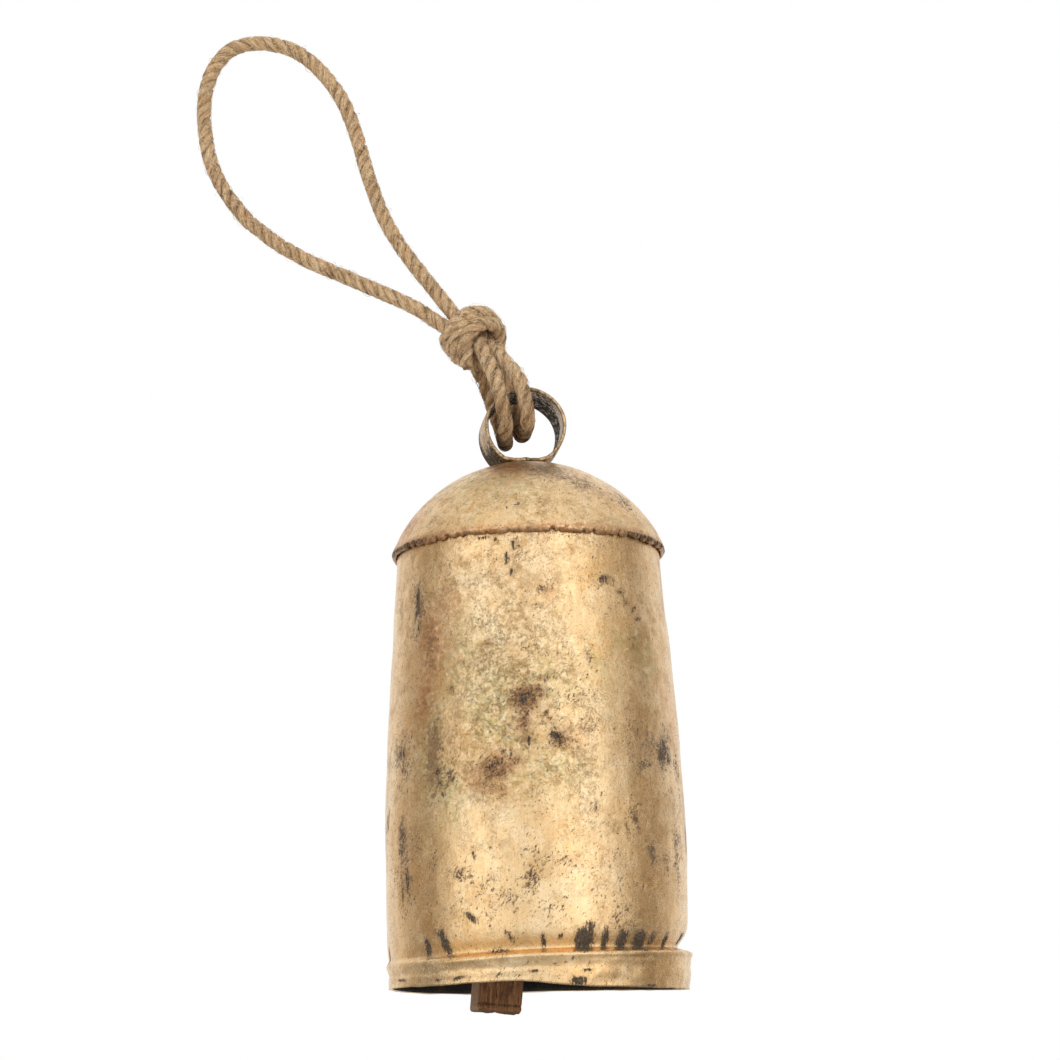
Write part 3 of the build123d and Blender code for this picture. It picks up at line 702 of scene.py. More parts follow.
def body_masks(th, z):
    dark = np.zeros_like(z)
    for a in [
        (-135.2, 18.6, 1.9, 4.6, 10, 0.95), (-126.6, 20.2, 2.1, 5.8, 22, 0.95), (-130.5, 24.2, 1.2, 2.8, 35, 0.55),
        (-114.7, 28.4, 1.4, 3.8, 58, 0.80), (-104.5, 14.9, 5.0, 1.1, 0, 0.62), (-100.4, 20.3, 1.0, 3.2, 38, 0.72),
        (-88.0, 17.9, 1.1, 2.9, 4, 0.90), (-81.6, 19.6, 1.0, 1.4, 0, 0.62), (-72.6, 18.2, 4.0, 4.6, 0, 1.15), (-71.0, 22.2, 2.4, 3.2, -8, 0.75),
        (-64.4, 18.4, 1.7, 4.4, -4, 1.00), (-57.0, 17.6, 2.7, 4.2, -6, 1.05), (-48.5, 17.6, 3.7, 4.2, -8, 1.05), (-41.5, 18.3, 2.1, 3.0, -14, 0.85),
        (-32.2, 17.4, 2.3, 3.6, -10, 0.90), (-15.0, 18.6, 3.2, 3.0, 0, 0.85),
        (-75.6, 1.9, 3.2, 1.7, 0, 1.10), (-130.4, 2.6, 2.2, 0.8, 0, 0.95), (-120.8, 3.0, 3.0, 1.1, 12, 0.90), (-153.0, 4.0, 4.6, 1.2, -6, 0.80),
        (-45.1, 0.9, 4.4, 0.8, 0, 0.80), (-91.6, 5.4, 2.4, 0.9, 5, 0.75), (-72.2, 6.2, 3.0, 0.7, 8, 0.65), (-105.0, 3.4, 0.6, 2.1, -30, 0.8), (-84.0, 8.6, 1.0, 0.8, 0, 0.7), (-143.0, 158.0, 2.0, 7.0, 0, 0.62), (-141.0, 148.0, 1.6, 4.0, 0, 0.6), (-31.0, 94.0, 3.6, 6.0, 0, 0.60), (-150.0, 96.0, 3.0, 4.0, 0, 0.55),
        (-99.0, 171.5, 1.1, 3.0, 3, 0.82), (-96.0, 177.0, 0.9, 2.4, 6, 0.72), (-108.5, 180.8, 3.4, 0.9, 0, 0.75), (-103.5, 180.0, 1.0, 1.3, 0, 0.8),
        (-96.8, 166.0, 1.5, 1.8, 0, 0.68), (-57.5, 163.5, 3.2, 2.3, 0, 0.62), (-143.0, 160.5, 1.2, 4.6, 0, 0.66), (-50.5, 158.6, 2.5, 1.3, 0, 0.6),
        (-92.8, 114.6, 2.6, 1.1, -6, 0.95), (-94.0, 112.2, 2.0, 0.9, 0, 1.0), (-90.4, 115.9, 1.5, 0.9, 0, 0.8), (-81.4, 98.2, 3.0, 1.4, -14, 0.85), (-79.8, 95.4, 1.6, 1.9, 20, 0.55),
        (-106.8, 86.4, 1.6, 1.0, 0, 0.9), (-103.0, 87.8, 2.6, 0.9, 10, 0.7), (-91.2, 97.4, 0.45, 4.2, -6, 0.85), (-84.2, 121.4, 2.2, 1.6, 40, 0.60),
        (-43.5, 151.9, 3.6, 1.0, 34, 0.55), (-128.4, 86.0, 1.3, 1.9, 0, 0.72), (-126.0, 76.8, 1.6, 1.5, 0, 0.62), (-152.0, 96.0, 4.0, 3.4, 0, 0.48),
        (-146.0, 44.0, 1.5, 6.0, 4, 0.72), (-149.5, 40.0, 1.3, 5.0, 0, 0.62), (-30.0, 97.0, 3.0, 4.6, 0, 0.60), (-26.5, 91.5, 3.2, 3.6, 0, 0.58),
        (-89.5, 46.4, 3.0, 5.2, 16, 0.27), (-92.5, 41.6, 1.5, 3.2, 10, 0.34), (-54.0, 61.0, 1.4, 4.0, 6, 0.50), (-113.0, 52.0, 1.2, 3.0, 12, 0.50), (-165.0, 70.0, 3.0, 6.0, 0, 0.5),
        (-8.0, 60.0, 4.0, 7.0, 0, 0.5), (-67.0, 70.0, 1.0, 2.6, -20, 0.48), (-122.0, 120.0, 1.3, 3.2, 20, 0.48),
        # round the back
        (12.0, 18.5, 2.6, 4.0, -6, 0.95), (27.0, 19.4, 3.4, 4.6, 8, 1.00), (44.0, 18.0, 2.0, 4.0, 0, 0.90), (58.0, 19.0, 3.6, 4.4, -8, 1.0), (71.0, 18.0, 1.7, 3.8, 0, 0.85),
        (108.0, 18.0, 3.2, 4.6, 6, 1.00), (121.0, 17.5, 1.8, 4.2, 10, 0.9), (138.0, 16.5, 3.0, 4.2, 10, 0.95), (152.0, 16.0, 1.8, 3.6, 14, 0.85), (168.0, 17.5, 2.6, 4.6, 10, 0.95),
        (-168.0, 17.0, 1.8, 4.0, 12, 0.85), (35.0, 2.0, 5.0, 1.0, 0, 0.85), (130.0, 3.0, 4.0, 1.0, 0, 0.85), (65.0, 110.0, 3.0, 4.0, 10, 0.75), (125.0, 70.0, 4.0, 4.0, 0, 0.72),
        (35.0, 140.0, 3.4, 3.0, 30, 0.70), (150.0, 130.0, 2.0, 6.0, 6, 0.65), (20.0, 60.0, 2.4, 5.0, 0, 0.70), (110.0, 150.0, 4.0, 2.2, 0, 0.72), (165.0, 95.0, 2.6, 3.4, 0, 0.65),
    ]:
        dark = np.maximum(dark, blob(th, z, a[0], a[1], a[2], a[3], a[4], a[5], power=2.6))
    rust = np.zeros_like(z)
    for a in [
        (-92.8, 113.2, 6.4, 6.0, 0, 0.80), (-89.0, 116.6, 5.0, 3.0, 10, 0.62), (-93.2, 104.5, 3.2, 7.5, 0, 0.52), (-104.4, 85.6, 8.4, 6.2, 0, 0.62), (-97.0, 88.6, 5.0, 3.0, 0, 0.5),
        (-80.8, 97.0, 4.4, 3.4, 0, 0.50), (-106.5, 78.5, 9.0, 3.6, -18, 0.42), (-101.5, 76.0, 3.0, 7.0, 0, 0.40),
        (-84.6, 107.4, 1.4, 1.2, 0, 0.8), (-83.4, 104.8, 1.1, 1.0, 0, 0.8), (72.0, 96.0, 5.0, 4.4, 0, 0.85), (135.0, 118.0, 4.0, 5.0, 0, 0.75), (18.0, 118.0, 3.4, 3.4, 0, 0.7),
    ]:
        rust = np.maximum(rust, blob(th, z, *a))
    brown = np.zeros_like(z)
    for a in [
        (-93.2, 98.0, 3.2, 11.0, 0, 0.66), (-131.0, 92.0, 6.5, 26.0, 0, 0.70), (-134.0, 138.0, 5.5, 16.0, 0, 0.62), (-119.0, 46.0, 7.0, 5.0, 0, 0.44), (-40.0, 98.0, 8.0, 8.0, 0, 0.44), (-143.0, 158.0, 5.0, 12.0, 0, 0.55), (-46.0, 138.0, 8.0, 5.0, 0, 0.44), (-24.0, 60.0, 6.0, 22.0, 0, 0.42), (-149.0, 62.0, 6.0, 18.0, 0, 0.5), (-104.0, 84.5, 8.0, 7.6, 0, 0.50), (-89.2, 45.0, 5.6, 9.0, 6, 0.36), (-81.0, 96.6, 4.6, 3.6, 0, 0.50), (-152.0, 95.0, 8.0, 7.0, 0, 0.55),
        (-146.0, 44.0, 4.5, 12.0, 0, 0.50), (-140.0, 155.0, 5.5, 15.0, 0, 0.48), (-29.0, 94.8, 9.0, 9.5, 0, 0.48), (-72.0, 19.5, 6.0, 6.0, 0, 0.42), (-48.0, 19.0, 12.0, 6.0, 0, 0.40),
        (-128.0, 81.0, 4.0, 9.0, 0, 0.42), (60.0, 100.0, 12.0, 9.0, 0, 0.55), (128.0, 74.0, 10.0, 12.0, 0, 0.55), (20.0, 60.0, 7.0, 12.0, 0, 0.5), (150.0, 130.0, 7.0, 12.0, 0, 0.5),
        (35.0, 142.0, 9.0, 8.0, 0, 0.5), (110.0, 150.0, 9.0, 5.0, 0, 0.5), (-168.0, 62.0, 7.0, 14.0, 0, 0.45), (-10.0, 56.0, 6.0, 14.0, 0, 0.42), (-62.0, 163.0, 10.0, 4.0, 0, 0.40),
    ]:
        brown = np.maximum(brown, blob(th, z, *a))
    olive = np.zeros_like(z)
    for a in [
        (-101.0, 106.0, 17.0, 24.0, -10, 0.95), (-86.0, 120.0, 16.0, 12.0, 0, 0.70), (-83.0, 86.0, 14.0, 12.0, 0, 0.70), (-37.7, 133.5, 7.0, 9.0, 0, 0.85), (-46.0, 136.0, 9.0, 6.0, 0, 0.55), (-128.0, 82.0, 8.0, 16.0, 0, 0.70),
        (-118.0, 128.0, 12.0, 22.0, 0, 0.60), (-62.0, 128.0, 12.0, 12.0, 0, 0.45), (-131.0, 92.0, 7.0, 26.0, 0, 1.05), (-122.0, 78.0, 7.0, 14.0, 0, 0.95), (-98.0, 80.0, 16.0, 9.0, 0, 0.85), (-48.0, 139.0, 9.0, 5.0, 0, 0.95), (70.0, 100.0, 26.0, 24.0, 0, 0.85), (140.0, 110.0, 18.0, 24.0, 0, 0.75), (20.0, 122.0, 14.0, 20.0, 0, 0.6),
    ]:
        olive = np.maximum(olive, blob(th, z, *a))
    red = np.zeros_like(z)
    for a in [
        (-133.0, 140.0, 8.5, 15.0, 0, 1.10), (-126.0, 156.0, 8.0, 8.0, 0, 0.6), (-136.0, 120.0, 6.5, 15.0, 0, 0.92), (-111.0, 80.0, 9.0, 4.0, -25, 0.85), (-104.4, 86.0, 11.0, 10.0, 0, 0.70), (-93.0, 108.0, 8.0, 12.0, 0, 0.55), (-100.0, 76.0, 10.0, 5.0, 0, 0.60), (-24.0, 115.0, 7.0, 12.0, 0, 0.45), (-76.0, 98.0, 8.0, 7.0, 0, 0.5),
        (-82.0, 158.0, 3.0, 5.0, 0, 0.6), (-120.0, 96.0, 10.0, 8.0, 0, 0.4), (90.0, 60.0, 14.0, 10.0, 0, 0.6), (30.0, 80.0, 12.0, 12.0, 0, 0.55), (160.0, 150.0, 12.0, 10.0, 0, 0.55),
    ]:
        red = np.maximum(red, blob(th, z, *a))
    speck = 0.16 + np.zeros_like(z)
    for a in [
        (-29.8, 94.8, 10.0, 12.0, 0, 1.00), (-46.4, 97.4, 12.0, 12.0, 0, 0.75), (-142.4, 154.9, 7.0, 16.0, 0, 1.00), (-130.0, 165.0, 14.0, 10.0, 0, 0.40), (-81.4, 98.0, 9.0, 8.0, 0, 0.75), (-64.0, 122.0, 12.0, 8.0, 0, 0.6),
        (-58.0, 44.0, 20.0, 24.0, 0, 0.34), (-95.0, 30.0, 34.0, 10.0, 0, 0.36), (-125.0, 30.0, 14.0, 12.0, 0, 0.45), (-58.0, 161.0, 14.0, 7.0, 0, 0.45), (-100.0, 168.0, 14.0, 12.0, 0, 0.32), (-20.0, 60.0, 12.0, 32.0, 0, 0.50),
        (-118.0, 44.0, 7.0, 5.0, 0, 1.15), (-109.0, 40.0, 5.0, 4.0, 0, 0.9), (-88.0, 51.0, 6.0, 6.0, -20, 0.92), (-90.5, 42.0, 5.0, 8.0, 0, 0.88), (-79.0, 47.0, 4.0, 4.0, 0, 1.0), (-84.0, 30.0, 5.0, 8.0, 0, 0.9),
        (-100.0, 33.0, 10.0, 6.0, 0, 0.8), (-50.0, 66.0, 4.0, 9.0, 0, 0.9), (-42.0, 54.0, 4.0, 9.0, 0, 1.0), (-33.0, 47.0, 4.0, 8.0, 0, 1.1), (-24.0, 50.0, 5.0, 14.0, 0, 1.1), (-18.0, 84.0, 5.0, 16.0, 0, 1.0),
        (-40.0, 99.0, 7.0, 7.0, 0, 1.2), (-31.0, 92.0, 6.0, 14.0, 0, 1.25), (-44.0, 86.0, 5.0, 5.0, 0, 1.0), (-57.0, 163.5, 5.0, 2.6, 0, 0.95), (-48.0, 154.0, 2.4, 5.0, 30, 1.05), (-41.0, 148.0, 4.0, 2.0, 0, 1.0),
        (-143.0, 158.0, 5.0, 14.0, 0, 1.25), (-128.0, 170.0, 9.0, 6.0, 0, 0.8), (-95.0, 174.0, 4.0, 9.0, 0, 0.75), (-84.0, 160.0, 5.0, 5.0, 0, 0.8), (-67.0, 130.0, 5.0, 6.0, 0, 0.8), (-130.0, 96.0, 5.0, 8.0, 0, 1.0), (-122.0, 86.0, 4.0, 8.0, 0, 0.9),
        (-88.0, 132.0, 14.0, 5.0, 0, 0.55), (-76.0, 116.0, 8.0, 6.0, 0, 0.7), (-150.0, 60.0, 5.0, 18.0, 0, 1.0), (-140.0, 60.0, 5.0, 10.0, 0, 0.8), (-132.0, 52.0, 6.0, 6.0, 0, 0.9), (-133.0, 36.0, 6.0, 10.0, 0, 0.7), (-55.0, 26.0, 14.0, 6.0, 0, 0.8),
        (-128.0, 84.0, 8.0, 14.0, 0, 0.85), (-150.0, 94.0, 12.0, 16.0, 0, 0.8), (-148.0, 46.0, 12.0, 20.0, 0, 0.85), (-90.0, 3.0, 70.0, 3.0, 0, 0.28), (-89.0, 45.0, 12.0, 14.0, 0, 0.7), (-92.0, 112.0, 14.0, 10.0, 0, 0.55),
        (-105.0, 88.0, 14.0, 10.0, 0, 0.5), (60.0, 100.0, 30.0, 26.0, 0, 0.8), (130.0, 70.0, 26.0, 30.0, 0, 0.8), (30.0, 150.0, 26.0, 16.0, 0, 0.8), (160.0, 130.0, 16.0, 30.0, 0, 0.7), (90.0, 24.0, 90.0, 12.0, 0, 0.6),
    ]:
        speck = np.maximum(speck, blob(th, z, *a))
    speck = np.maximum(speck, 0.42 * smooth(176.0, 183.0, z))
    leather = np.zeros_like(z)
    for a in [(-104.0, 118.0, 32.0, 46.0, 0, 1.00), (-128.0, 150.0, 20.0, 24.0, 0, 0.85), (-78.0, 96.0, 26.0, 30.0, 0, 0.70), (70.0, 110.0, 40.0, 40.0, 0, 0.9), (150.0, 130.0, 30.0, 40.0, 0, 0.8)]:
        leather = np.maximum(leather, blob(th, z, *a))
    leather = np.maximum(leather, 0.18)
    # painted warm reflection along the groove: a little all round, most on the front
    painted_groove_reflection = np.exp(-(((z - 18.0) / 2.7) ** 2)) * (0.30 + 0.70 * smooth(-142.0, -122.0, th) * (1 - smooth(-84.0, -58.0, th)))
    polish = np.maximum(0.80 * (1 - smooth(56.0, 84.0, z)), blob(th, z, -60.0, 118.0, 13.0, 52.0, 0, 0.70))
    return dict(dark=dark, rust=rust, brown=brown, olive=olive, red=red, speck=speck, leather=leather, painted_groove_reflection=painted_groove_reflection, polish=polish)


def build_body():
    extra = np.array([83.2, 83.5, 83.8, 84.1, 84.4, 84.7])
    th = np.sort(np.concatenate([np.arange(0, 360, 360 / 386.0), extra]))
    z = np.concatenate([np.arange(0, 10, 0.9), np.arange(10, 20, 0.45), np.arange(20, 34, 0.9), np.linspace(34, BODY_TOP, 124)])
    T, Z = np.meshgrid(th, z)
    wave = mouth_wave(T) * (1 - smooth(0.0, 11.0, Z))
    shift = (groove_at(T) - 15.5) * smooth(0.0, 12.0, Z) * (1 - smooth(17.0, 44.0, Z))
    ragged = 0.22 * fbm(np.stack([np.cos(np.radians(T)) * 9, np.sin(np.radians(T)) * 9, 0 * T], -1), 2, 77) * (1 - smooth(0.0, 3.0, Z))
    Za = Z + wave + shift + ragged
    R = body_radius(T, Za, Z)
    c, s = np.cos(np.radians(T)), np.sin(np.radians(T))
    P = np.stack([R * c, R * s, Za], -1)
    hammer = beaten(P) * (1 - 0.75 * smooth(176, 184, Z))
    hammer = hammer * (0.55 + 0.45 * smooth(0.0, 26.0, Z))
    # upright ridges left by rolling the sheet
    hammer = hammer + 0.10 * fbm(np.stack([c * 6.0, s * 6.0, Za / 60.0], -1), 2, 61) * smooth(24, 40, Z)
    # creases pressed into the band
    band = (1 - smooth(9.0, 13.0, Z))
    hammer = hammer + 0.55 * band * fbm(np.stack([c * 4.5, s * 4.5, Za / 7.0], -1), 2, 62)
    hammer = hammer + 0.16 * band * fbm(np.stack([c * 14.0, s * 14.0, Za / 4.0], -1), 2, 63)
    # the lap down the back: a free edge on one side, a smooth rise on the other
    lap = smooth(83.6, 84.5, T) * (1 - smooth(92.0, 106.0, T)) * (1 - smooth(180.2, 181.8, Z))
    lap = lap * (1.0 + 0.10 * fbm(P / 5.0, 2, 64))
    R = R + hammer + 1.05 * lap
    outer = np.stack([R * c, R * s, Za], -1)
    zi = np.concatenate([np.arange(0.35, 30, 1.6), np.linspace(30, BODY_TOP, 32)])
    Ti, Zi = np.meshgrid(th, zi)
    wave = mouth_wave(Ti) * (1 - smooth(0.0, 11.0, Zi))
    shift = (groove_at(Ti) - 15.5) * smooth(0.0, 12.0, Zi) * (1 - smooth(17.0, 44.0, Zi))
    Zia = Zi + wave + shift
    Ri = body_radius(Ti, Zia, Zi)
    ci, si = np.cos(np.radians(Ti)), np.sin(np.radians(Ti))
    Pi = np.stack([Ri * ci, Ri * si, Zia], -1)
    Ri = Ri + beaten(Pi) * (1 - 0.75 * smooth(176, 184, Zi)) * (0.55 + 0.45 * smooth(0.0, 26.0, Zi)) - SHEET
    inner = np.stack([Ri * ci, Ri * si, Zia], -1)
    n = len(th)
    # rows run from the inner top, down and round the mouth's edge, to the outer top
    rows = np.concatenate([inner[::-1], outer])
    ni = len(zi)
    faces = grid(len(rows), n)
    # close the top edge of the sheet
    top = np.array([[(len(rows) - 1) * n + k, (len(rows) - 1) * n + (k + 1) % n, (k + 1) % n, k] for k in range(n)])
    faces = np.concatenate([faces, top])
    mats = np.zeros(len(faces), int)
    mats[: (ni - 1) * n] = 1
    allT = np.concatenate([Ti[::-1], T])
    allZ = np.concatenate([Zi[::-1], Z])
    masks = body_masks(((allT + 180) % 360 - 180).ravel(), allZ.ravel())
    v = row(rows.reshape(-1, 3))
    return make("body_shell_beaten", v, faces, [BRASS, SOOT], "bell", ("body_shell",), masks, face_mats=mats)


body = build_body()

# ------------------------------------------------------------------ dome cap
CAP_R, CAP_Z, CAP_T, CROWN = 63.9, 159.9, 1.3, 222.4


def build_cap():
    n = 520
    th = np.arange(n) * 360.0 / n
    a0, a1 = math.asin(13.3 / CAP_R), math.asin(58.5 / CAP_R)
    flat = [(r, CROWN) for r in np.linspace(1.6, 13.0, 9)]
    arc = [(CAP_R * math.sin(a), CAP_Z + CAP_R * math.cos(a)) for a in np.linspace(a0 + 0.015, a1 - 0.03, 58)]
    hem = [(58.15, 186.3), (58.25, 185.6), (58.55, 184.9), (58.75, 184.2), (58.65, 183.5), (58.35, 182.9), (57.9, 182.45), (57.4, 182.25), (56.95, 182.5)]
    inn = [(56.9, 184.0), (57.1, 186.2)] + [((CAP_R - CAP_T) * math.sin(a), CAP_Z + (CAP_R - CAP_T) * math.cos(a)) for a in np.linspace(a1 - 0.06, a0, 12)] + [(6.0, CROWN - CAP_T), (1.6, CROWN - CAP_T)]
    prof = flat + arc + hem + inn
    pr = np.array(prof)
    n_out = len(flat) + len(arc) + len(hem)
    T, Rr = np.meshgrid(th, pr[:, 0])
    _, Zz = np.meshgrid(th, pr[:, 1])
    c, s = np.cos(np.radians(T)), np.sin(np.radians(T))
    P = np.stack([Rr * c, Rr * s, Zz], -1)
    # directions out of the cap
    d = np.stack([Rr * c, Rr * s, Zz - CAP_Z], -1)
    d /= np.linalg.norm(d, axis=-1, keepdims=True)
    outer = (np.arange(len(prof)) < n_out).astype(float)[:, None]
    hammer = 0.34 * fbm(P / 26.0, 2, 91) + 0.16 * fbm(P / 9.0, 2, 92) + 0.05 * fbm(P / 3.6, 2, 93)
    k_hem = np.exp(-(((Zz - 184.0) / 2.4) ** 2)) * (Rr > 50)
    hammer = hammer * (1 - 0.5 * k_hem)
    # a dish round the ring's foot, scaled to nothing
    dish = -0.35 * np.exp(-((Rr / 15.0) ** 2)) * 0
    hammer = hammer + dish
    # a soft valley just above the hem, where it was beaten down
    hammer = hammer - 0.16 * np.exp(-(((Zz - 188.0) / 2.2) ** 2)) * (Rr > 50) * outer
    P = P + d * hammer[..., None]
    # the ragged hem: it waves, sags, and has nicks torn in it
    low = smooth(188.5, 183.2, Zz) * (Rr > 50)
    ring3 = np.stack([c * 58, s * 58, 0 * c], -1)
    big = 0.55 * fbm(ring3 / 22.0, 2, 94)
    crimp = 0.34 * fbm(ring3 / 4.4, 3, 95) * (0.4 + 1.2 * np.clip(0.5 + fbm(ring3 / 16.0, 2, 98), 0, 1))
    nick = np.maximum(0, fbm(ring3 / 2.1, 2, 96) - 0.16) * 3.4
    lower = smooth(185.2, 182.9, Zz) * (Rr > 50)
    P[..., 2] += low * big + lower * (0.45 * crimp + np.minimum(nick, 1.25))
    rad = lower * (0.42 * crimp - 0.25 * np.minimum(nick, 1.2)) + k_hem * 0.28 * fbm(ring3 / 7.0 + 5, 2, 97)
    P[..., 0] += c * rad
    P[..., 1] += s * rad
    rows = P.reshape(-1, 3)
    faces = grid(len(prof), n, flip=True)
    top = np.array([[0.0, 0.0, CROWN + 0.0]])
    bot = np.array([[0.0, 0.0, CROWN - CAP_T]])
    v = np.concatenate([rows, top, bot])
    ti, bi = len(rows), len(rows) + 1
    last = (len(prof) - 1) * n
    faces = [list(f) for f in faces]
    faces += [[ti, k, (k + 1) % n] for k in range(n)]
    faces += [[bi, last + (k + 1) % n, last + k] for k in range(n)]
    mats = np.zeros(len(faces), int)
    mats[(n_out + 1) * n: (len(prof) - 1) * n] = 1
    mats[-n:] = 1
    x, y, zz = v[:, 0], v[:, 1], v[:, 2]
    t = np.degrees(np.arctan2(y, x))
    rr = np.hypot(x, y)
    # stains, placed by angle and by distance from the crown
    dark, rust, brown, olive, red, speck, leather = (np.zeros(len(v)) for _ in range(7))

    def spot(t0, r0, st, sr, amp):
        return amp * np.exp(-((((t - t0 + 180) % 360 - 180) * np.pi / 180 * np.maximum(rr, 8) / st) ** 2 + ((rr - r0) / sr) ** 2))

    for a in [(-86, 31, 14, 6, 0.56), (-72, 35, 14, 9, 0.60), (-58, 42, 12, 9, 0.52), (-44, 48, 10, 6, 0.42), (-150, 40, 12, 8, 0.44), (-120, 30, 12, 5, 0.40), (70, 35, 14, 8, 0.6), (150, 30, 12, 8, 0.5), (-110, 30, 7, 7, 0.58)]:
        brown = np.maximum(brown, spot(*a))
    for a in [(-82, 34, 14, 8, 0.8), (-66, 42, 12, 8, 0.75), (-120, 36, 20, 12, 0.45), (-52, 46, 9, 8, 0.8), (-35, 50, 8, 6, 0.8), (-165, 50, 16, 10, 0.7), (20, 40, 30, 14, 0.6), (100, 40, 30, 14, 0.7), (160, 44, 24, 12, 0.6)]:
        speck = np.maximum(speck, spot(*a))
    speck = np.maximum(speck, 0.15)
    speck = np.maximum(speck, 0.32 * smooth(187.0, 184.0, zz) * (rr > 50))
    for a in [(-112, 40, 22, 12, 0.65), (-140, 34, 16, 12, 0.5), (-96, 48, 16, 6, 0.5), (80, 40, 24, 14, 0.6)]:
        olive = np.maximum(olive, spot(*a))
    for a in [(-158, 54, 12, 8, 0.9), (-103, 29, 11, 8, 1.30), (-72, 36, 12, 8, 0.40), (-172, 46, 9, 8, 0.6), (30, 46, 12, 8, 0.6)]:
        red = np.maximum(red, spot(*a))
    # hem: painted shade on the underside of the rolled lip, and black in its nicks
    hem_underside_shade = smooth(183.6, 182.5, zz) * (rr > 50)
    dark = np.maximum(dark, 0.20 * hem_underside_shade)
    ring3v = np.stack([x / np.maximum(rr, 1) * 58, y / np.maximum(rr, 1) * 58, 0 * x], -1)
    dark = np.maximum(dark, 0.52 * smooth(0.20, 0.50, fbm(ring3v / 2.1, 2, 96)) * smooth(184.6, 183.4, zz) * (rr > 50))
    right = smooth(-62, -34, t) * (1 - smooth(0, 20, t))
    left = smooth(-122, -142, t)
    dark = np.maximum(dark, 0.66 * np.maximum(right, left) * np.exp(-(((zz - 183.8) / 1.3) ** 2)) * (rr > 50))
    hemtint = smooth(187.2, 184.6, zz) * (rr > 50)
    red = np.maximum(red, 0.85 * hemtint)
    # painted brown reflection on the hem's lower faces
    brown = np.maximum(brown, 0.44 * smooth(185.4, 183.4, zz) * (rr > 50))
    # warm brown where the braze ran round the ring's foot
    rx, ry = x - RING_X, y
    heat = np.maximum(np.exp(-(((rx / 17) ** 2 + (ry / 19.0) ** 2) ** 2)), np.exp(-((((x + 5) / 14.0) ** 2 + ((y + 20) / 9.0) ** 2) ** 2)))
    v = row(v)
    return make("dome_cap_beaten", v, faces, [CAPM, SOOT], "bell", ("dome_cap",),
                dict(dark=dark, rust=rust, brown=brown, olive=olive, red=red, speck=speck, leather=leather + 0.42, heat=heat), face_mats=mats)


def cap_material():
    """The same coat as the body, warmed to orange brown round the ring's foot."""
    m = brass_material("beaten_brass_cap")
    t = m.node_tree
    bsdf = next(n for n in t.nodes if n.type == "BSDF_PRINCIPLED")
    old = bsdf.inputs["Base Color"].links[0].from_socket
    at = t.nodes.new("ShaderNodeAttribute")
    at.attribute_name = "heat"
    mx = t.nodes.new("ShaderNodeMix")
    mx.data_type = "RGBA"
    mul = t.nodes.new("ShaderNodeMath")
    mul.operation = "MULTIPLY"
    mul.inputs[1].default_value = 0.80
    t.links.new(at.outputs["Fac"], mul.inputs[0])
    t.links.new(mul.outputs[0], mx.inputs[0])
    t.links.new(old, mx.inputs[6])
    mx.inputs[7].default_value = (0.56, 0.29, 0.11, 1.0)
    t.links.new(mx.outputs[2], bsdf.inputs["Base Color"])
    return m


CAPM = cap_material()
cap = build_cap()

# ------------------------------------------------------------------ crown ring
RING_Z, RING_R, RING_T, RING_W, FOOT = 238.3, 17.7, 1.5, 25.4, 222.45
psi = math.atan2(-JOINT["bell_swing"]["axis"][0], JOINT["bell_swing"]["axis"][1])
RX = np.array([math.cos(psi), math.sin(psi), 0.0])
RY = np.array([-math.sin(psi), math.cos(psi), 0.0])
RZ = np.array([0.0, 0.0, 1.0])


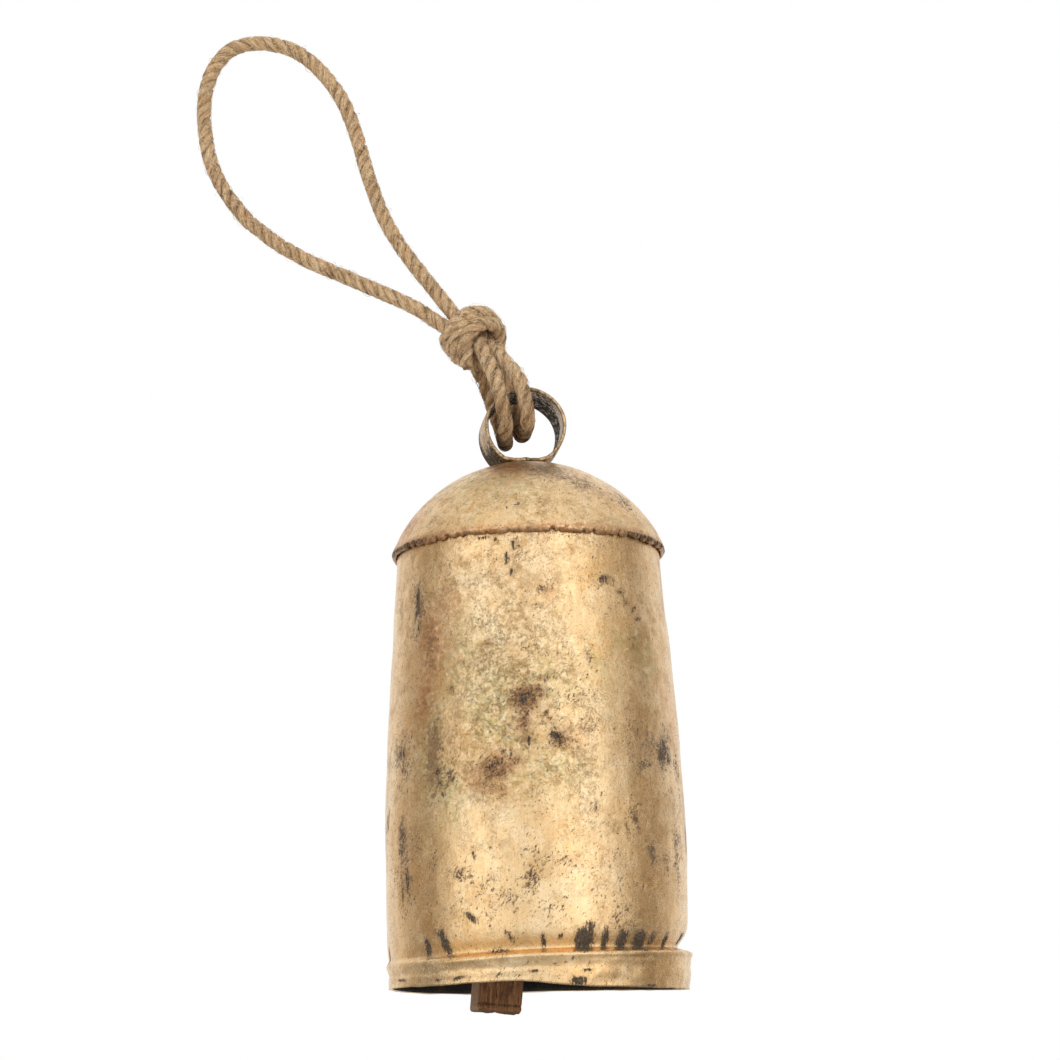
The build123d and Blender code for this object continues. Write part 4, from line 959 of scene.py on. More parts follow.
def build_ring():
    # the strip's mid line, once round from the middle of the foot
    rm = RING_R - RING_T / 2
    drop = RING_Z - FOOT - RING_T / 2
    half = math.sqrt(rm * rm - drop * drop)
    pts = []
    a0 = math.atan2(-drop, half)
    for x in np.linspace(0.3, half - 2.2, 8):
        pts.append((x, -drop))
    for a in np.linspace(a0 + 0.10, math.pi - a0 - 0.10, 120):
        w = 0.25 * math.sin(2 * a + 0.6) + 0.12 * math.sin(5 * a)
        pts.append(((rm + w) * math.cos(a), (rm + w) * math.sin(a)))
    for x in np.linspace(-half + 2.2, -0.3, 8):
        pts.append((x, -drop))
    path = resample(np.array([(x, 0, z) for x, z in pts]), 0.8)
    t = np.gradient(path, axis=0)
    t /= np.linalg.norm(t, axis=1)[:, None]
    nrm = np.stack([t[:, 2], 0 * t[:, 0], -t[:, 0]], 1)    # outwards
    flip = np.sign((nrm * path).sum(1).mean())
    nrm = nrm * flip
    # cross-section: a thin strip with rounded, hand-cut edges; w across, h through
    w2, h2, er = RING_W / 2, RING_T / 2, 0.55
    sec = []
    for w in np.linspace(-w2 + er, w2 - er, 26):
        sec.append((w, h2, 0.0))
    for a in np.linspace(math.pi / 2, -math.pi / 2, 7)[1:-1]:
        sec.append((w2 - er + er * math.cos(a) * 1.0, h2 * math.sin(a), 1.0))
    for w in np.linspace(w2 - er, -w2 + er, 26):
        sec.append((w, -h2, 0.0))
    for a in np.linspace(-math.pi / 2, -3 * math.pi / 2, 7)[1:-1]:
        sec.append((-w2 + er + er * math.cos(a) * 1.0, h2 * math.sin(a), 1.0))
    sec = np.array(sec)
    m = len(sec)
    s = np.linspace(0, 1, len(path))
    wob = 1 + 0.018 * fbm(np.stack([s * 9, 0 * s, 0 * s], 1), 3, 31)
    V = np.zeros((len(path), m, 3))
    for k in range(m):
        w, h, _ = sec[k]
        side = np.sign(w)
        edge = 0.35 * fbm(np.stack([s * 14, 0 * s + side, 0 * s], 1), 3, 33) * (abs(w) / w2) ** 2
        ww = w * wob + side * edge
        # the strip is a little dished across its width
        hh = h - 0.25 * (abs(w) / w2) ** 3
        V[:, k] = path + nrm * hh + np.array([0, 1.0, 0]) * ww[:, None]
    P = V.reshape(-1, 3)
    P = P + np.repeat(nrm, m, 0) * (0.10 * fbm(P / 5.0, 2, 36))[:, None]
    keep_foot = P[:, 2] < -drop + 1.6
    local = P.copy()
    world = local[:, :1] * RX + local[:, 1:2] * RY + local[:, 2:3] * RZ + np.array([RING_X, 0, RING_Z])
    # stay out of the cap
    world[:, 2] = np.where(keep_foot, np.maximum(world[:, 2], FOOT - 0.02), world[:, 2])
    faces = [list(f) for f in grid(len(path), m)]
    faces.append(list(range(m))[::-1])
    faces.append([(len(path) - 1) * m + k for k in range(m)])
    inner = np.tile((sec[:, 1] < -0.2).astype(float), len(path))
    edge = np.tile(np.clip(sec[:, 2] + np.clip((np.abs(sec[:, 0]) / w2 - 0.93) / 0.07, 0, 1) * 0.8, 0, 1), len(path))
    ang = np.degrees(np.arctan2(local[:, 2], local[:, 0]))
    low = 0.85 * np.exp(-(((ang + 136) / 20.0) ** 2)) + 0.45 * np.exp(-(((ang + 46) / 14.0) ** 2)) + 0.15 + 0.5 * smooth(3, 9, local[:, 1]) * smooth(60, 110, np.abs(ang))
    front = smooth(1.0, -8.0, local[:, 1])
    tan = 1.45 * front * np.exp(-(((ang + 12) / 24.0) ** 2)) + 0.65 * front * np.exp(-(((ang - 22) / 16.0) ** 2)) + 0.25 * front
    return make("crown_ring_strip", row(world), faces, [RINGM], "bell", ("crown_ring",), dict(inner=inner, edge=edge, low=low, tan=tan))


ring = build_ring()


def build_braze():
    """A lumpy fillet of braze round the ring's foot."""
    n, m = 150, 12
    a = np.linspace(0, 2 * math.pi, n, endpoint=False)

    def outline(hx, hy, p=5.0):
        c, s = np.cos(a), np.sin(a)
        r = (np.abs(c / hx) ** p + np.abs(s / hy) ** p) ** (-1 / p)
        return np.stack([r * c, r * s], 1)

    rows = []
    lump = fbm(np.stack([np.cos(a) * 2.6, np.sin(a) * 2.6, 0 * a], 1), 3, 41)
    lump2 = fbm(np.stack([np.cos(a) * 7, np.sin(a) * 7, 0 * a], 1), 2, 42)
    for k in range(m):
        u = k / (m - 1)
        hx, hy = 7.6 + 4.9 * u, 12.4 + 1.9 * u
        o = outline(hx, hy) * (1 + 0.05 * lump * u + 0.025 * lump2 * u)[:, None]
        rr = np.hypot(o[:, 0] + RING_X, o[:, 1])
        surf = np.where(rr < 13.3, CROWN, CAP_Z + np.sqrt(np.maximum(CAP_R**2 - rr**2, 1)))
        h = (1 - u) ** 1.8 * (1.25 + 0.5 * lump + 0.25 * lump2) - 0.25 * u
        z = surf + h
        rows.append(np.concatenate([o, z[:, None]], 1))
    P = np.array(rows)
    P = P + 0.10 * fbm(P / 1.8, 2, 44)[..., None] * np.array([0, 0, 1.0])
    under = P[::-1].copy()
    under[..., 2] = np.minimum(under[..., 2], FOOT) - 0.5
    allr = np.concatenate([P, under])
    L = allr.reshape(-1, 3)
    world = L[:, :1] * RX + L[:, 1:2] * RY + L[:, 2:3] * RZ + np.array([RING_X, 0, 0])
    faces = [list(f) for f in grid(len(allr), n, flip=True)]
    last = (len(allr) - 1) * n
    faces += [[last + k, k, (k + 1) % n, last + (k + 1) % n] for k in range(n)]
    return make("crown_braze_fillet", row(world), faces, [BRAZE], "bell", ("crown_braze",))


braze = build_braze()

# ------------------------------------------------------------------ staple, hanger
STAPLE_HALF, STAPLE_LOW, WIRE_R, BAIL_R, EYE_R = 7.0, 203.4, 1.75, 1.25, 6.5


def build_staple():
    pts = [(-STAPLE_HALF, z) for z in (224.6, 221, 217, 213.5)]
    bend = STAPLE_LOW + STAPLE_HALF
    pts += [(STAPLE_HALF * math.cos(a), bend + STAPLE_HALF * math.sin(a)) for a in np.linspace(math.pi, 2 * math.pi, 16)]
    pts += [(STAPLE_HALF, z) for z in (213.5, 217, 221, 224.6)]
    p = np.array([RING_X * np.array([1, 0, 0]) + RY * a + RZ * z for a, z in pts])
    path = resample(p, 0.8)
    parts = [tube(path, WIRE_R * (1 + 0.02 * fbm(path / 2.0, 2, 51)), 16)]
    for side in (-1, 1):
        prof = [(0.02, 225.35), (1.2, 225.36), (2.3, 225.15), (3.0, 224.85), (3.35, 224.45), (3.4, 224.1), (3.1, 224.0), (0.02, 224.0)]
        a = np.linspace(0, 2 * math.pi, 28, endpoint=False)
        rows = []
        for r, z in prof:
            wob = 1 + 0.07 * fbm(np.stack([np.cos(a) * 2, np.sin(a) * 2 + side * 5, 0 * a + z], 1), 2, 52)
            o = np.stack([r * wob * np.cos(a), r * wob * np.sin(a), 0 * a + z + 0.08 * fbm(np.stack([np.cos(a) * r, np.sin(a) * r, 0 * a + side], 1), 2, 53) * (r < 3.1) * (z > 224.5)], 1)
            rows.append(o)
        v = np.array(rows).reshape(-1, 3) + np.array([RING_X, 0, 0]) + RY * side * STAPLE_HALF
        f = [list(x) for x in grid(len(prof), 28, flip=True)]
        f.append(list(range(28)))
        f.append([(len(prof) - 1) * 28 + k for k in range(28)][::-1])
        parts.append((v, f))
    v, f = join(parts)
    return make("clapper_staple_wire", row(v), f, [WIRE], "bell", ("clapper_staple",))


staple = build_staple()
EYE_Z = STAPLE_LOW + WIRE_R + 0.10 + BAIL_R - EYE_R
PIN = np.array(JOINT["clapper_swing"]["pos_m"])
pin_axis = np.array(JOINT["clapper_swing"]["axis"], float)
pin_axis /= np.linalg.norm(pin_axis)
PIN_Z = (PIN[2] - MOUTH_Z) / MM


def build_bail():
    c = np.array([RING_X, 0, 0])
    parts = []
    # the eye, in the plane across the staple
    a = np.linspace(-math.pi / 2 + 0.22, 1.5 * math.pi - 0.22, 50)
    eye = np.array([c + RX * EYE_R * math.cos(t) + RZ * (EYE_Z + EYE_R * math.sin(t)) for t in a])
    # two wires twisted together under it, then parting into the yoke
    top, low = EYE_Z - EYE_R, 183.4
    turns, rh = 2.2, 1.15
    strands = []
    ex, ey = RX, np.cross(RZ, RX)
    for side in (0, 1):
        q = []
        for u in np.linspace(0, 1, 60):
            t = 2 * math.pi * turns * u + math.pi * side
            q.append(c + (ex * math.cos(t) + ey * math.sin(t)) * rh + RZ * (top - 0.4 + (low - top + 0.4) * u))
        strands.append(q)
    yoke = []
    for side in (-1, 1):
        w = [c + pin_axis * side * x + RZ * z for x, z in [(4.6, 180.3), (9.2, 177.4), (11.0, 175.8), (11.35, 173.6), (11.35, 168), (11.35, 162), (11.3, 159.4), (10.6, 158.2), (9.4, 158.0), (4.0, 158.0), (0.2, 158.0)]]
        yoke.append(w)
    # which twisted wire goes to which side of the yoke
    end0 = strands[0][-1] - c
    first = 1 if (end0 @ pin_axis) > 0 else 0
    w0 = np.array([eye[-1], *strands[0], *yoke[first]])
    w1 = np.array([eye[0], *strands[1], *yoke[1 - first]])
    wire = np.concatenate([w1[::-1][:-1], eye[1:-1], w0[1:]])
    path = resample(wire, 0.55)
    parts.append(tube(path, BAIL_R * (1 + 0.02 * fbm(path / 2.0, 2, 55)), 14))
    v, f = join(parts)
    return make("clapper_bail_wire", row(v), f, [WIRE], "clapper_hanger", ("clapper_bail",))


bail = build_bail()

# ------------------------------------------------------------------ clapper
LEAN, TURN, STICK, BELOW, ABOVE = math.radians(6.0), math.atan2(-pin_axis[0], pin_axis[1]), 19.0, 168.0, 9.0


def build_clapper():
    ex = np.array([math.cos(TURN), math.sin(TURN), 0])
    ax = ex * math.cos(LEAN) - RZ * math.sin(LEAN)
    az = ex * math.sin(LEAN) + RZ * math.cos(LEAN)
    ay = np.cross(az, ax)
    org = np.array([(PIN[0] - AXIS_X) / MM, PIN[1] / MM, PIN_Z])
    # cross-section: a square with worn corners
    h, er = STICK / 2, 1.3
    sec = []
    for q in range(4):
        a0 = q * math.pi / 2
        cs, sn = math.cos(a0), math.sin(a0)
        side = [(h, t) for t in np.linspace(-h + er, h - er, 15)]
        corner = [(h - er + er * math.cos(a), h - er + er * math.sin(a)) for a in np.linspace(0, math.pi / 2, 6)[1:-1]]
        for x, y in side + corner:
            sec.append((x * cs - y * sn, x * sn + y * cs))
    sec = np.array(sec)
    m = len(sec)
    zs = np.concatenate([np.linspace(0, 3, 8), np.linspace(3.6, 14, 16), np.linspace(16, BELOW + ABOVE - 3, 80), np.linspace(BELOW + ABOVE - 2.4, BELOW + ABOVE, 6)])
    rows = []
    for z in zs:
        k = 1.0
        if z < 1.6:
            k = 1 - 0.075 * (1 - z / 1.6) ** 2
        if z > BELOW + ABOVE - 1.4:
            k = 1 - 0.06 * ((z - (BELOW + ABOVE - 1.4)) / 1.4) ** 2
        p = np.concatenate([sec * k, np.full((m, 1), z)], 1)
        rows.append(p)
    P = np.array(rows)
    d = P.copy()
    d[..., 2] = 0
    d /= np.linalg.norm(d, axis=-1, keepdims=True)
    # sawn unevenness, and a frayed lower end
    n1 = fbm(P / np.array([7.0, 7.0, 30.0]), 3, 71)
    n2 = fbm(P / np.array([1.6, 1.6, 10.0]), 2, 72)
    P = P + d * (0.16 * n1 + 0.10 * n2 - 0.12)[..., None]
    fray = smooth(4.0, 0.0, P[..., 2])
    P[..., 2] = P[..., 2] + fray * (1.15 * fbm(P[..., :] / np.array([2.6, 2.6, 50.0]), 3, 73) + 0.45)
    # a shallow saw kerf across the front near the end
    kerf = np.exp(-(((P[..., 2] - 3.3) / 0.35) ** 2)) * (P[..., 1] < 0)
    P = P - d * (0.35 * kerf)[..., None]
    local = P.reshape(-1, 3)
    # ends: rings drawn in to a centre point
    ends = []
    faces = [list(f) for f in grid(len(zs), m)]
    v = [local]
    nv = len(local)
    for first, z, sgn in ((0, 0.0, -1), ((len(zs) - 1) * m, BELOW + ABOVE, 1)):
        prev = first
        for k in (0.8, 0.55, 0.3):
            ringp = local[first:first + m] * np.array([k, k, 1.0])
            ringp[:, 2] += 0.30 * fbm(ringp / 1.9, 2, 75)
            v.append(ringp)
            a = np.arange(m)
            b = (a + 1) % m
            for i in range(m):
                q = [prev + a[i], prev + b[i], nv + b[i], nv + a[i]]
                faces.append(q[::-1] if sgn < 0 else q)
            prev = nv
            nv += m
        v.append(np.array([[0, 0, local[first:first + m, 2].mean()]]))
        for i in range(m):
            q = [prev + i, prev + (i + 1) % m, nv]
            faces.append(q[::-1] if sgn < 0 else q)
        nv += 1
    L = np.concatenate(v)
    pos = org + L[:, :1] * ax + L[:, 1:2] * ay + (L[:, 2:3] - BELOW) * az
    pale = (np.abs(L[:, 0] + h) < 1.2).astype(float) * smooth(-h, -h + 1.5, L[:, 1])
    end = smooth(1.6, 0.2, L[:, 2])
    cut = np.exp(-(((L[:, 2] - 3.3) / 0.32) ** 2)) * (L[:, 1] < -h + 0.9)
    return make("clapper_stick", row(pos), faces, [WOOD], "clapper", ("clapper",), dict(pale=pale, end=end, cut=cut), vec_attrs=dict(bar=L))


clapper = build_clapper()

# ------------------------------------------------------------------ rope
ROPE_R = 3.2


def rope(path_mm, radius=ROPE_R, lay=15.5, phase=0.0, seed=0, step=0.5, sides=20, age=None, hand=1.0, ends=True):
    """Three soft strands laid together along a path, nearly merged by their fuzz."""
    path = resample(path_mm, step)
    t, n, b = frames(path)
    L = np.concatenate([[0], np.cumsum(np.linalg.norm(np.diff(path, axis=0), axis=1))])
    rs, off = radius * 0.600, radius * 0.405
    wob = fbm(np.stack([L / 11.0, 0 * L + seed, 0 * L], 1), 2, 200 + seed)
    thick = 1 + 0.045 * fbm(np.stack([L / 8.0, 0 * L + 3.3 * seed, 0 * L], 1), 2, 205 + seed)
    turn = 2 * math.pi * L / lay * hand + phase + 0.7 * wob
    V, F, FIB, GR, AG = [], [], [], [], []
    base = 0
    for k in range(3):
        a = turn + 2 * math.pi * k / 3 + 0.20 * fbm(np.stack([L / 9.0, 0 * L + k * 5 + seed, 0 * L], 1), 2, 207 + seed)
        fat = thick * (1 + 0.07 * fbm(np.stack([L / 6.0, 0 * L + k * 9 + seed, 0 * L], 1), 2, 210 + seed))
        ctr = path + (n * np.cos(a)[:, None] + b * np.sin(a)[:, None]) * (off * thick)[:, None]
        st = np.gradient(ctr, axis=0)
        st /= np.linalg.norm(st, axis=1)[:, None]
        out = ctr - path
        out -= st * (out * st).sum(1)[:, None]
        out /= np.linalg.norm(out, axis=1)[:, None]
        sd = np.cross(st, out)
        psi_ = np.linspace(0, 2 * math.pi, sides, endpoint=False)
        ang = hand * 2 * math.pi * L[:, None] / 30.0
        yarns = 0.030 * np.cos(5 * (psi_[None, :] + ang) + 2.0 * wob[:, None])
        r = rs * fat[:, None] * (1 + yarns)
        v = ctr[:, None] + (out[:, None] * np.cos(psi_)[None, :, None] + sd[:, None] * np.sin(psi_)[None, :, None]) * r[..., None]
        # matted fibres: small lumps and hollows
        lump = 0.10 * fbm(v / 1.5, 2, 220 + seed) + 0.07 * vnoise(v / 0.62, 230 + seed)
        v = v + (out[:, None] * np.cos(psi_)[None, :, None] + sd[:, None] * np.sin(psi_)[None, :, None]) * (lump * 1.25)[..., None]
        V.append(v.reshape(-1, 3))
        f = [list(x) for x in grid(len(path), sides, base=base)]
        if ends:
            f.append([base + i for i in range(sides)][::-1])
            f.append([base + (len(path) - 1) * sides + i for i in range(sides)])
        F += f
        # fibre coordinates: across the strand, and along it, slanting with its own twist
        fx = rs * np.cos(psi_[None, :] + ang) + 13.0 * k + 5 * seed
        fy = rs * np.sin(psi_[None, :] + ang)
        FIB.append(np.stack([fx, fy, L[:, None] + 0 * fx], -1).reshape(-1, 3))
        # painted shade mask: the sides of each strand, where it meets the others
        d = np.abs(((psi_ + math.pi) % (2 * math.pi)) - math.pi)
        GR.append(np.broadcast_to(smooth(0.80, 1.35, d)[None, :], (len(path), sides)).ravel())
        ag = np.zeros((len(path), sides)) if age is None else np.broadcast_to(age(path)[:, None], (len(path), sides))
        AG.append(np.array(ag).ravel())
        base += len(path) * sides
    return dict(v=np.concatenate(V), f=F, fib=np.concatenate(FIB), strand_gap_shade=np.concatenate(GR), age=np.concatenate(AG),
                path=path, t=t, n=n, b=b, step=step, radius=radius, hand=hand, agef=age)


def merge_ropes(ropes):
    vs, fs, fib, gr, ag, n = [], [], [], [], [], 0
    for r in ropes:
        vs.append(r["v"])
        fs += [[i + n for i in q] for q in r["f"]]
        fib.append(r["fib"])
        gr.append(r["strand_gap_shade"])
        ag.append(r["age"])
        n += len(r["v"])
    return np.concatenate(vs), fs, np.concatenate(fib), np.concatenate(gr), np.concatenate(ag)


def fuzz(ropes, per_mm, seed, stray=0.10):
    """Jute hairs: most lie along the strands and bridge their gaps, a few stand off."""
    g = np.random.default_rng(seed)
    K, S = 6, 3
    out_v, out_f, out_tone, base = [], [], [], 0
    for r in ropes:
        p, t, n, b, step = r["path"], r["t"], r["n"], r["b"], r["step"]
        count = max(8, int((len(p) - 1) * step * per_mm))
        length = g.uniform(1.8, 4.6, count)
        loose = g.random(count) < stray
        wild = g.random(count) < stray * 0.07
        length = np.where(wild, length * 1.9, length)
        room = len(p) - 2 - length / step
        i0 = 1 + g.random(count) * np.maximum(room, 0.0)
        k = np.linspace(0, 1, K)[None, :]
        idx = np.minimum(i0[:, None] + (length / step)[:, None] * k, len(p) - 1.001)
        lo = np.floor(idx).astype(int)
        fr = (idx - lo)[..., None]

        def at(a):
            return a[lo] * (1 - fr) + a[lo + 1] * fr

        P, T, N, B = at(p), at(t), at(n), at(b)
        pitch = g.uniform(0.55, 1.45, count) * r["hand"] * 2 * math.pi / 15.5
        pitch = np.where(g.random(count) < 0.22, -0.6 * pitch, pitch)
        a = g.uniform(0, 2 * math.pi, count)[:, None] + (pitch * length)[:, None] * k
        a = a + (g.normal(0, 0.10, count))[:, None] * np.sin(math.pi * k * 2)
        rad = r["radius"] * g.uniform(0.925, 1.015, count)[:, None] + 0 * k
        lift = np.where(loose, g.uniform(0.25, 1.5, count), g.uniform(0.0, 0.12, count))
        lift = np.where(wild, g.uniform(0.9, 2.2, count), lift)
        pressed = P[..., 2].min(1) < 246.0
        lift = np.where(pressed, np.minimum(lift, 0.10), lift)
        shape = np.where((g.random(count) < 0.5)[:, None], k ** 1.6, np.sin(math.pi * k))
        rad = rad + lift[:, None] * shape
        radial = N * np.cos(a)[..., None] + B * np.sin(a)[..., None]
        side = -N * np.sin(a)[..., None] + B * np.cos(a)[..., None]
        q = P + radial * rad[..., None] + side * (np.where(loose & ~pressed, g.normal(0, 0.8, count), 0.0)[:, None] * k * k)[..., None]
        w = np.where(loose, g.uniform(0.050, 0.090, count), g.uniform(0.075, 0.150, count))[:, None] * np.array([0.45, 0.9, 1.0, 1.0, 0.85, 0.30])[None, :]
        rings = []
        for s_ in range(S):
            c_, n_ = math.cos(2 * math.pi * s_ / S), math.sin(2 * math.pi * s_ / S)
            rings.append(q + (radial * c_ * 0.75 + side * n_) * w[..., None])
        v = np.stack(rings, 2)                     # count, K, S, 3
        out_v.append(v.reshape(-1, 3))
        start = base + np.arange(count)[:, None] * (K * S)
        quads = []
        for i in range(K - 1):
            for s_ in range(S):
                s2 = (s_ + 1) % S
                quads.append(np.stack([start[:, 0] + i * S + s_, start[:, 0] + i * S + s2, start[:, 0] + (i + 1) * S + s2, start[:, 0] + (i + 1) * S + s_], 1))
        out_f += np.concatenate(quads).tolist()
        out_f += (start + np.array([[2, 1, 0]])).tolist()
        out_f += (start + (K - 1) * S + np.array([[0, 1, 2]])).tolist()
        tone = np.clip(g.normal(0.58, 0.30, count), 0, 1)
        if r["agef"] is not None:
            tone = np.clip(tone - 0.55 * r["agef"](P[:, 2]), 0, 1)
        out_tone.append(np.repeat(tone, K * S))
        base += count * K * S
    return np.concatenate(out_v), out_f, np.concatenate(out_tone)


def add_rope(name, ropes, body, replaces, hair, seed, stray=0.16):
    v, f, fib, gr, ag = merge_ropes(ropes)
    ob = make(name, row(v), f, [JUTE], body, replaces, dict(strand_gap_shade=gr, age=ag), vec_attrs=dict(fib=fib))
    if hair:
        hv, hf, ht = fuzz(ropes, hair, seed, stray)
        hob = make(name + "_fibres", row(hv), hf, [FIBRE], body, (), dict(tone=ht))
        return ob, hob
    return ob, None


LOOP = [
    (-37.39, 289.46), (-44.77, 294.92), (-53.05, 299.50), (-63.10, 304.37), (-73.83, 309.49), (-84.14, 314.38), (-93.81, 319.03), (-101.95, 323.87),
    (-109.00, 328.70), (-114.74, 333.49), (-120.26, 338.29), (-124.02, 343.05), (-130.89, 353.05), (-135.34, 362.54), (-138.02, 372.02),
    (-139.50, 383.00), (-139.74, 390.97), (-138.73, 400.45), (-135.60, 409.90), (-129.49, 417.91),
    (-123.23, 421.05), (-116.03, 422.05), (-107.93, 421.10), (-100.30, 418.49), (-93.58, 413.99),
    (-88.46, 409.07), (-80.70, 398.84), (-75.87, 389.20), (-72.40, 379.16), (-69.83, 369.66),
    (-67.28, 359.72), (-64.50, 350.75), (-61.29, 341.33), (-56.99, 331.91), (-51.60, 322.72),
    (-44.91, 313.07), (-38.02, 303.68), (-32.01, 295.49),
]
KNOT = np.array([-20.2, -0.2, 280.7])


def loop_age(p):
    return 0.10 + 0.25 * np.clip(fbm(p / 9.0, 2, 301), 0, 1)


# the two legs run on a little way into the knot, bending into it
leg_in = [(-25.5, 0.5, 281.0), (-31.5, 0.3, 285.2)]
leg_out = [(-28.2, -0.2, 290.2), (-24.5, -0.5, 285.5)]
loop_pts = np.array(leg_in + [(x, 0.0, z) for x, z in LOOP] + leg_out)
loop_rope = rope(loop_pts, seed=1, age=loop_age)
v, f, fib, gr, ag = merge_ropes([loop_rope])
loop_ob = make("rope_loop_laid", row(v), f, [JUTE], None, ("rope_loop",), dict(strand_gap_shade=gr, age=ag), vec_attrs=dict(fib=fib))
hv, hf, ht = fuzz([loop_rope], 10.0, 5)
loop_hair = make("rope_loop_fibres", row(hv), hf, [FIBRE], None, (), dict(tone=ht))
for o in (loop_ob, loop_hair):
    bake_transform(o)

# the knot: turns of rope wound round the strands, its open end facing the front and the lower right
axis = np.array([0.50, -0.62, -0.60])
axis /= np.linalg.norm(axis)
k_up = np.array([-0.10, 0.45, 0.0]) * 0 + np.array([0.35, -0.30, 0.85])
k_up -= axis * (k_up @ axis)
k_up /= np.linalg.norm(k_up)
k_rt = np.cross(k_up, axis)


def coil(points):
    """(turn in degrees, radius, distance along the axis) to points about the knot."""
    out = []
    for a, r, d in points:
        a = math.radians(a)
        out.append(KNOT + (k_rt * math.cos(a) + k_up * math.sin(a)) * r + axis * d)
    return np.array(out)


def knot_age(p):
    q = (p - KNOT) @ axis
    return np.clip(0.12 + 0.03 * q + 0.25 * fbm(p / 6.0, 2, 302), 0, 0.6)


turns = []
for i in range(0, 42):
    a = -150 + i * 30.0
    u = i / 41.0
    r = 10.0 + 1.5 * math.sin(math.pi * min(1, u * 1.15)) - 1.1 * u
    d = -8.4 + 15.2 * u
    turns.append((a, r, d))
wraps = coil(turns)
start = [KNOT + np.array([-3.0, 2.0, 2.5]), KNOT + np.array([-8.0, 5.0, 5.0])]
end = [wraps[-1] - axis * 2.5 + (KNOT - wraps[-1]) * 0.25, KNOT + axis * 1.0]
wrap_rope = rope(np.concatenate([[start[0]], wraps, end]), seed=2, age=knot_age, lay=17.0, hand=1.0)
# a crossing turn over the upper left shoulder, where the legs go in
cross = np.array([
    KNOT + np.array([3.0, 4.0, -6.0]), KNOT + np.array([-6.0, 8.0, -6.5]), KNOT + np.array([-11.2, 3.8, -1.0]), KNOT + np.array([-10.6, -4.4, 3.8]),
    KNOT + np.array([-4.2, -7.6, 9.2]), KNOT + np.array([4.0, -3.8, 10.4]), KNOT + np.array([8.6, 3.6, 6.0]), KNOT + np.array([5.0, 8.0, -1.0])])
cross_rope = rope(cross, seed=3, age=knot_age, lay=17.0)
core = np.array([KNOT + np.array([-9.0, 1.0, 9.0]), KNOT + np.array([-3.0, 1.0, 3.0]), KNOT + np.array([2.0, 3.0, -3.0]), KNOT + np.array([5.0, 6.0, -8.0])])
core_rope = rope(core, seed=4, age=lambda p: 0.6 + 0 * p[:, 0], lay=17.0)
fill = np.array([KNOT + np.array([-4.0, 2.0, 6.6]), KNOT + np.array([1.2, 1.6, 4.4]), KNOT + np.array([4.4, 1.6, 0.8]), KNOT + np.array([6.0, 2.6, -4.0])])
fill_rope = rope(fill, seed=8, age=lambda p: 0.6 + 0 * p[:, 0], lay=17.0)
knot_ob, knot_hair = add_rope("rope_knot_wound", [wrap_rope, cross_rope, core_rope, fill_rope], "knot", ("rope_knot",), 8.0, 6)

BIGHT_LEFT = [
    (-21.0, 1.5, 282.5), (-19.4, -3.6, 278.2), (-16.9, -8.8, 272.0), (-14.4, -13.4, 265.3), (-12.0, -17.2, 257.7),
    (-10.4, -18.1, 251.0), (-9.0, -18.0, 244.3), (-8.3, -16.4, 238.6), (-8.5, -12.2, 235.9),
    (-8.6, -6.0, 235.1), (-8.6, 0.0, 234.9), (-8.6, 6.0, 235.2), (-9.0, 12.0, 236.6),
    (-9.7, 16.0, 240.2), (-11.0, 17.4, 245.0), (-12.8, 17.4, 251.1), (-15.0, 16.0, 258.0),
    (-17.4, 12.8, 264.2), (-19.6, 8.6, 268.6), (-21.6, 4.5, 273.0), (-21.8, 2.0, 277.0),
]
BIGHT_RIGHT = [
    (-16.5, 2.0, 279.5), (-12.8, -3.0, 275.2), (-8.8, -8.0, 269.4), (-4.6, -12.6, 263.3), (-1.6, -16.6, 257.2),
    (-0.1, -17.6, 250.7), (1.0, -17.6, 244.1), (1.2, -15.8, 240.0), (0.7, -11.6, 238.3),
    (0.1, -6.0, 238.1), (-0.5, 0.0, 238.2), (-1.1, 6.0, 238.7), (-1.9, 12.0, 240.4),
    (-2.9, 15.9, 244.2), (-4.3, 17.4, 250.9), (-5.5, 17.4, 257.8), (-7.2, 15.6, 264.2),
    (-10.6, 11.2, 270.0), (-14.6, 5.6, 274.4), (-17.5, 2.5, 277.5),
]


def bight_darkening(p):
    # darker low down, where the bights pass through the ring, and towards the back
    low = smooth(262.0, 238.0, p[:, 2])
    back = smooth(-6.0, 10.0, p[:, 1])
    return np.clip(0.10 + 0.62 * low + 0.45 * back + 0.25 * fbm(p / 5.0, 2, 303), 0, 1)


bl = rope(np.array(BIGHT_LEFT), seed=5, age=bight_darkening, lay=24.0, phase=0.4)
br = rope(np.array(BIGHT_RIGHT), seed=6, age=bight_darkening, lay=24.0, phase=1.3)
bl_ob, _ = add_rope("rope_bight_left_laid", [bl], "knot", ("rope_bight_left",), 11.0, 7)
br_ob, _ = add_rope("rope_bight_right_laid", [br], "knot", ("rope_bight_right",), 11.0, 8)
tail_pts = np.array([(-22.6, -2.0, 281.0), (-24.0, -5.6, 276.4), (-24.6, -7.8, 271.4), (-24.9, -9.0, 266.2)])
tl = rope(tail_pts, radius=2.8, seed=7, age=lambda p: 0.35 + 0 * p[:, 0], lay=16.0)
tail_ob, _ = add_rope("rope_tail_cut", [tl], "knot", ("rope_tail",), 9.0, 9)

# ------------------------------------------------------------------ stage, light, camera
floor_z = cad_lo.z - 0.15


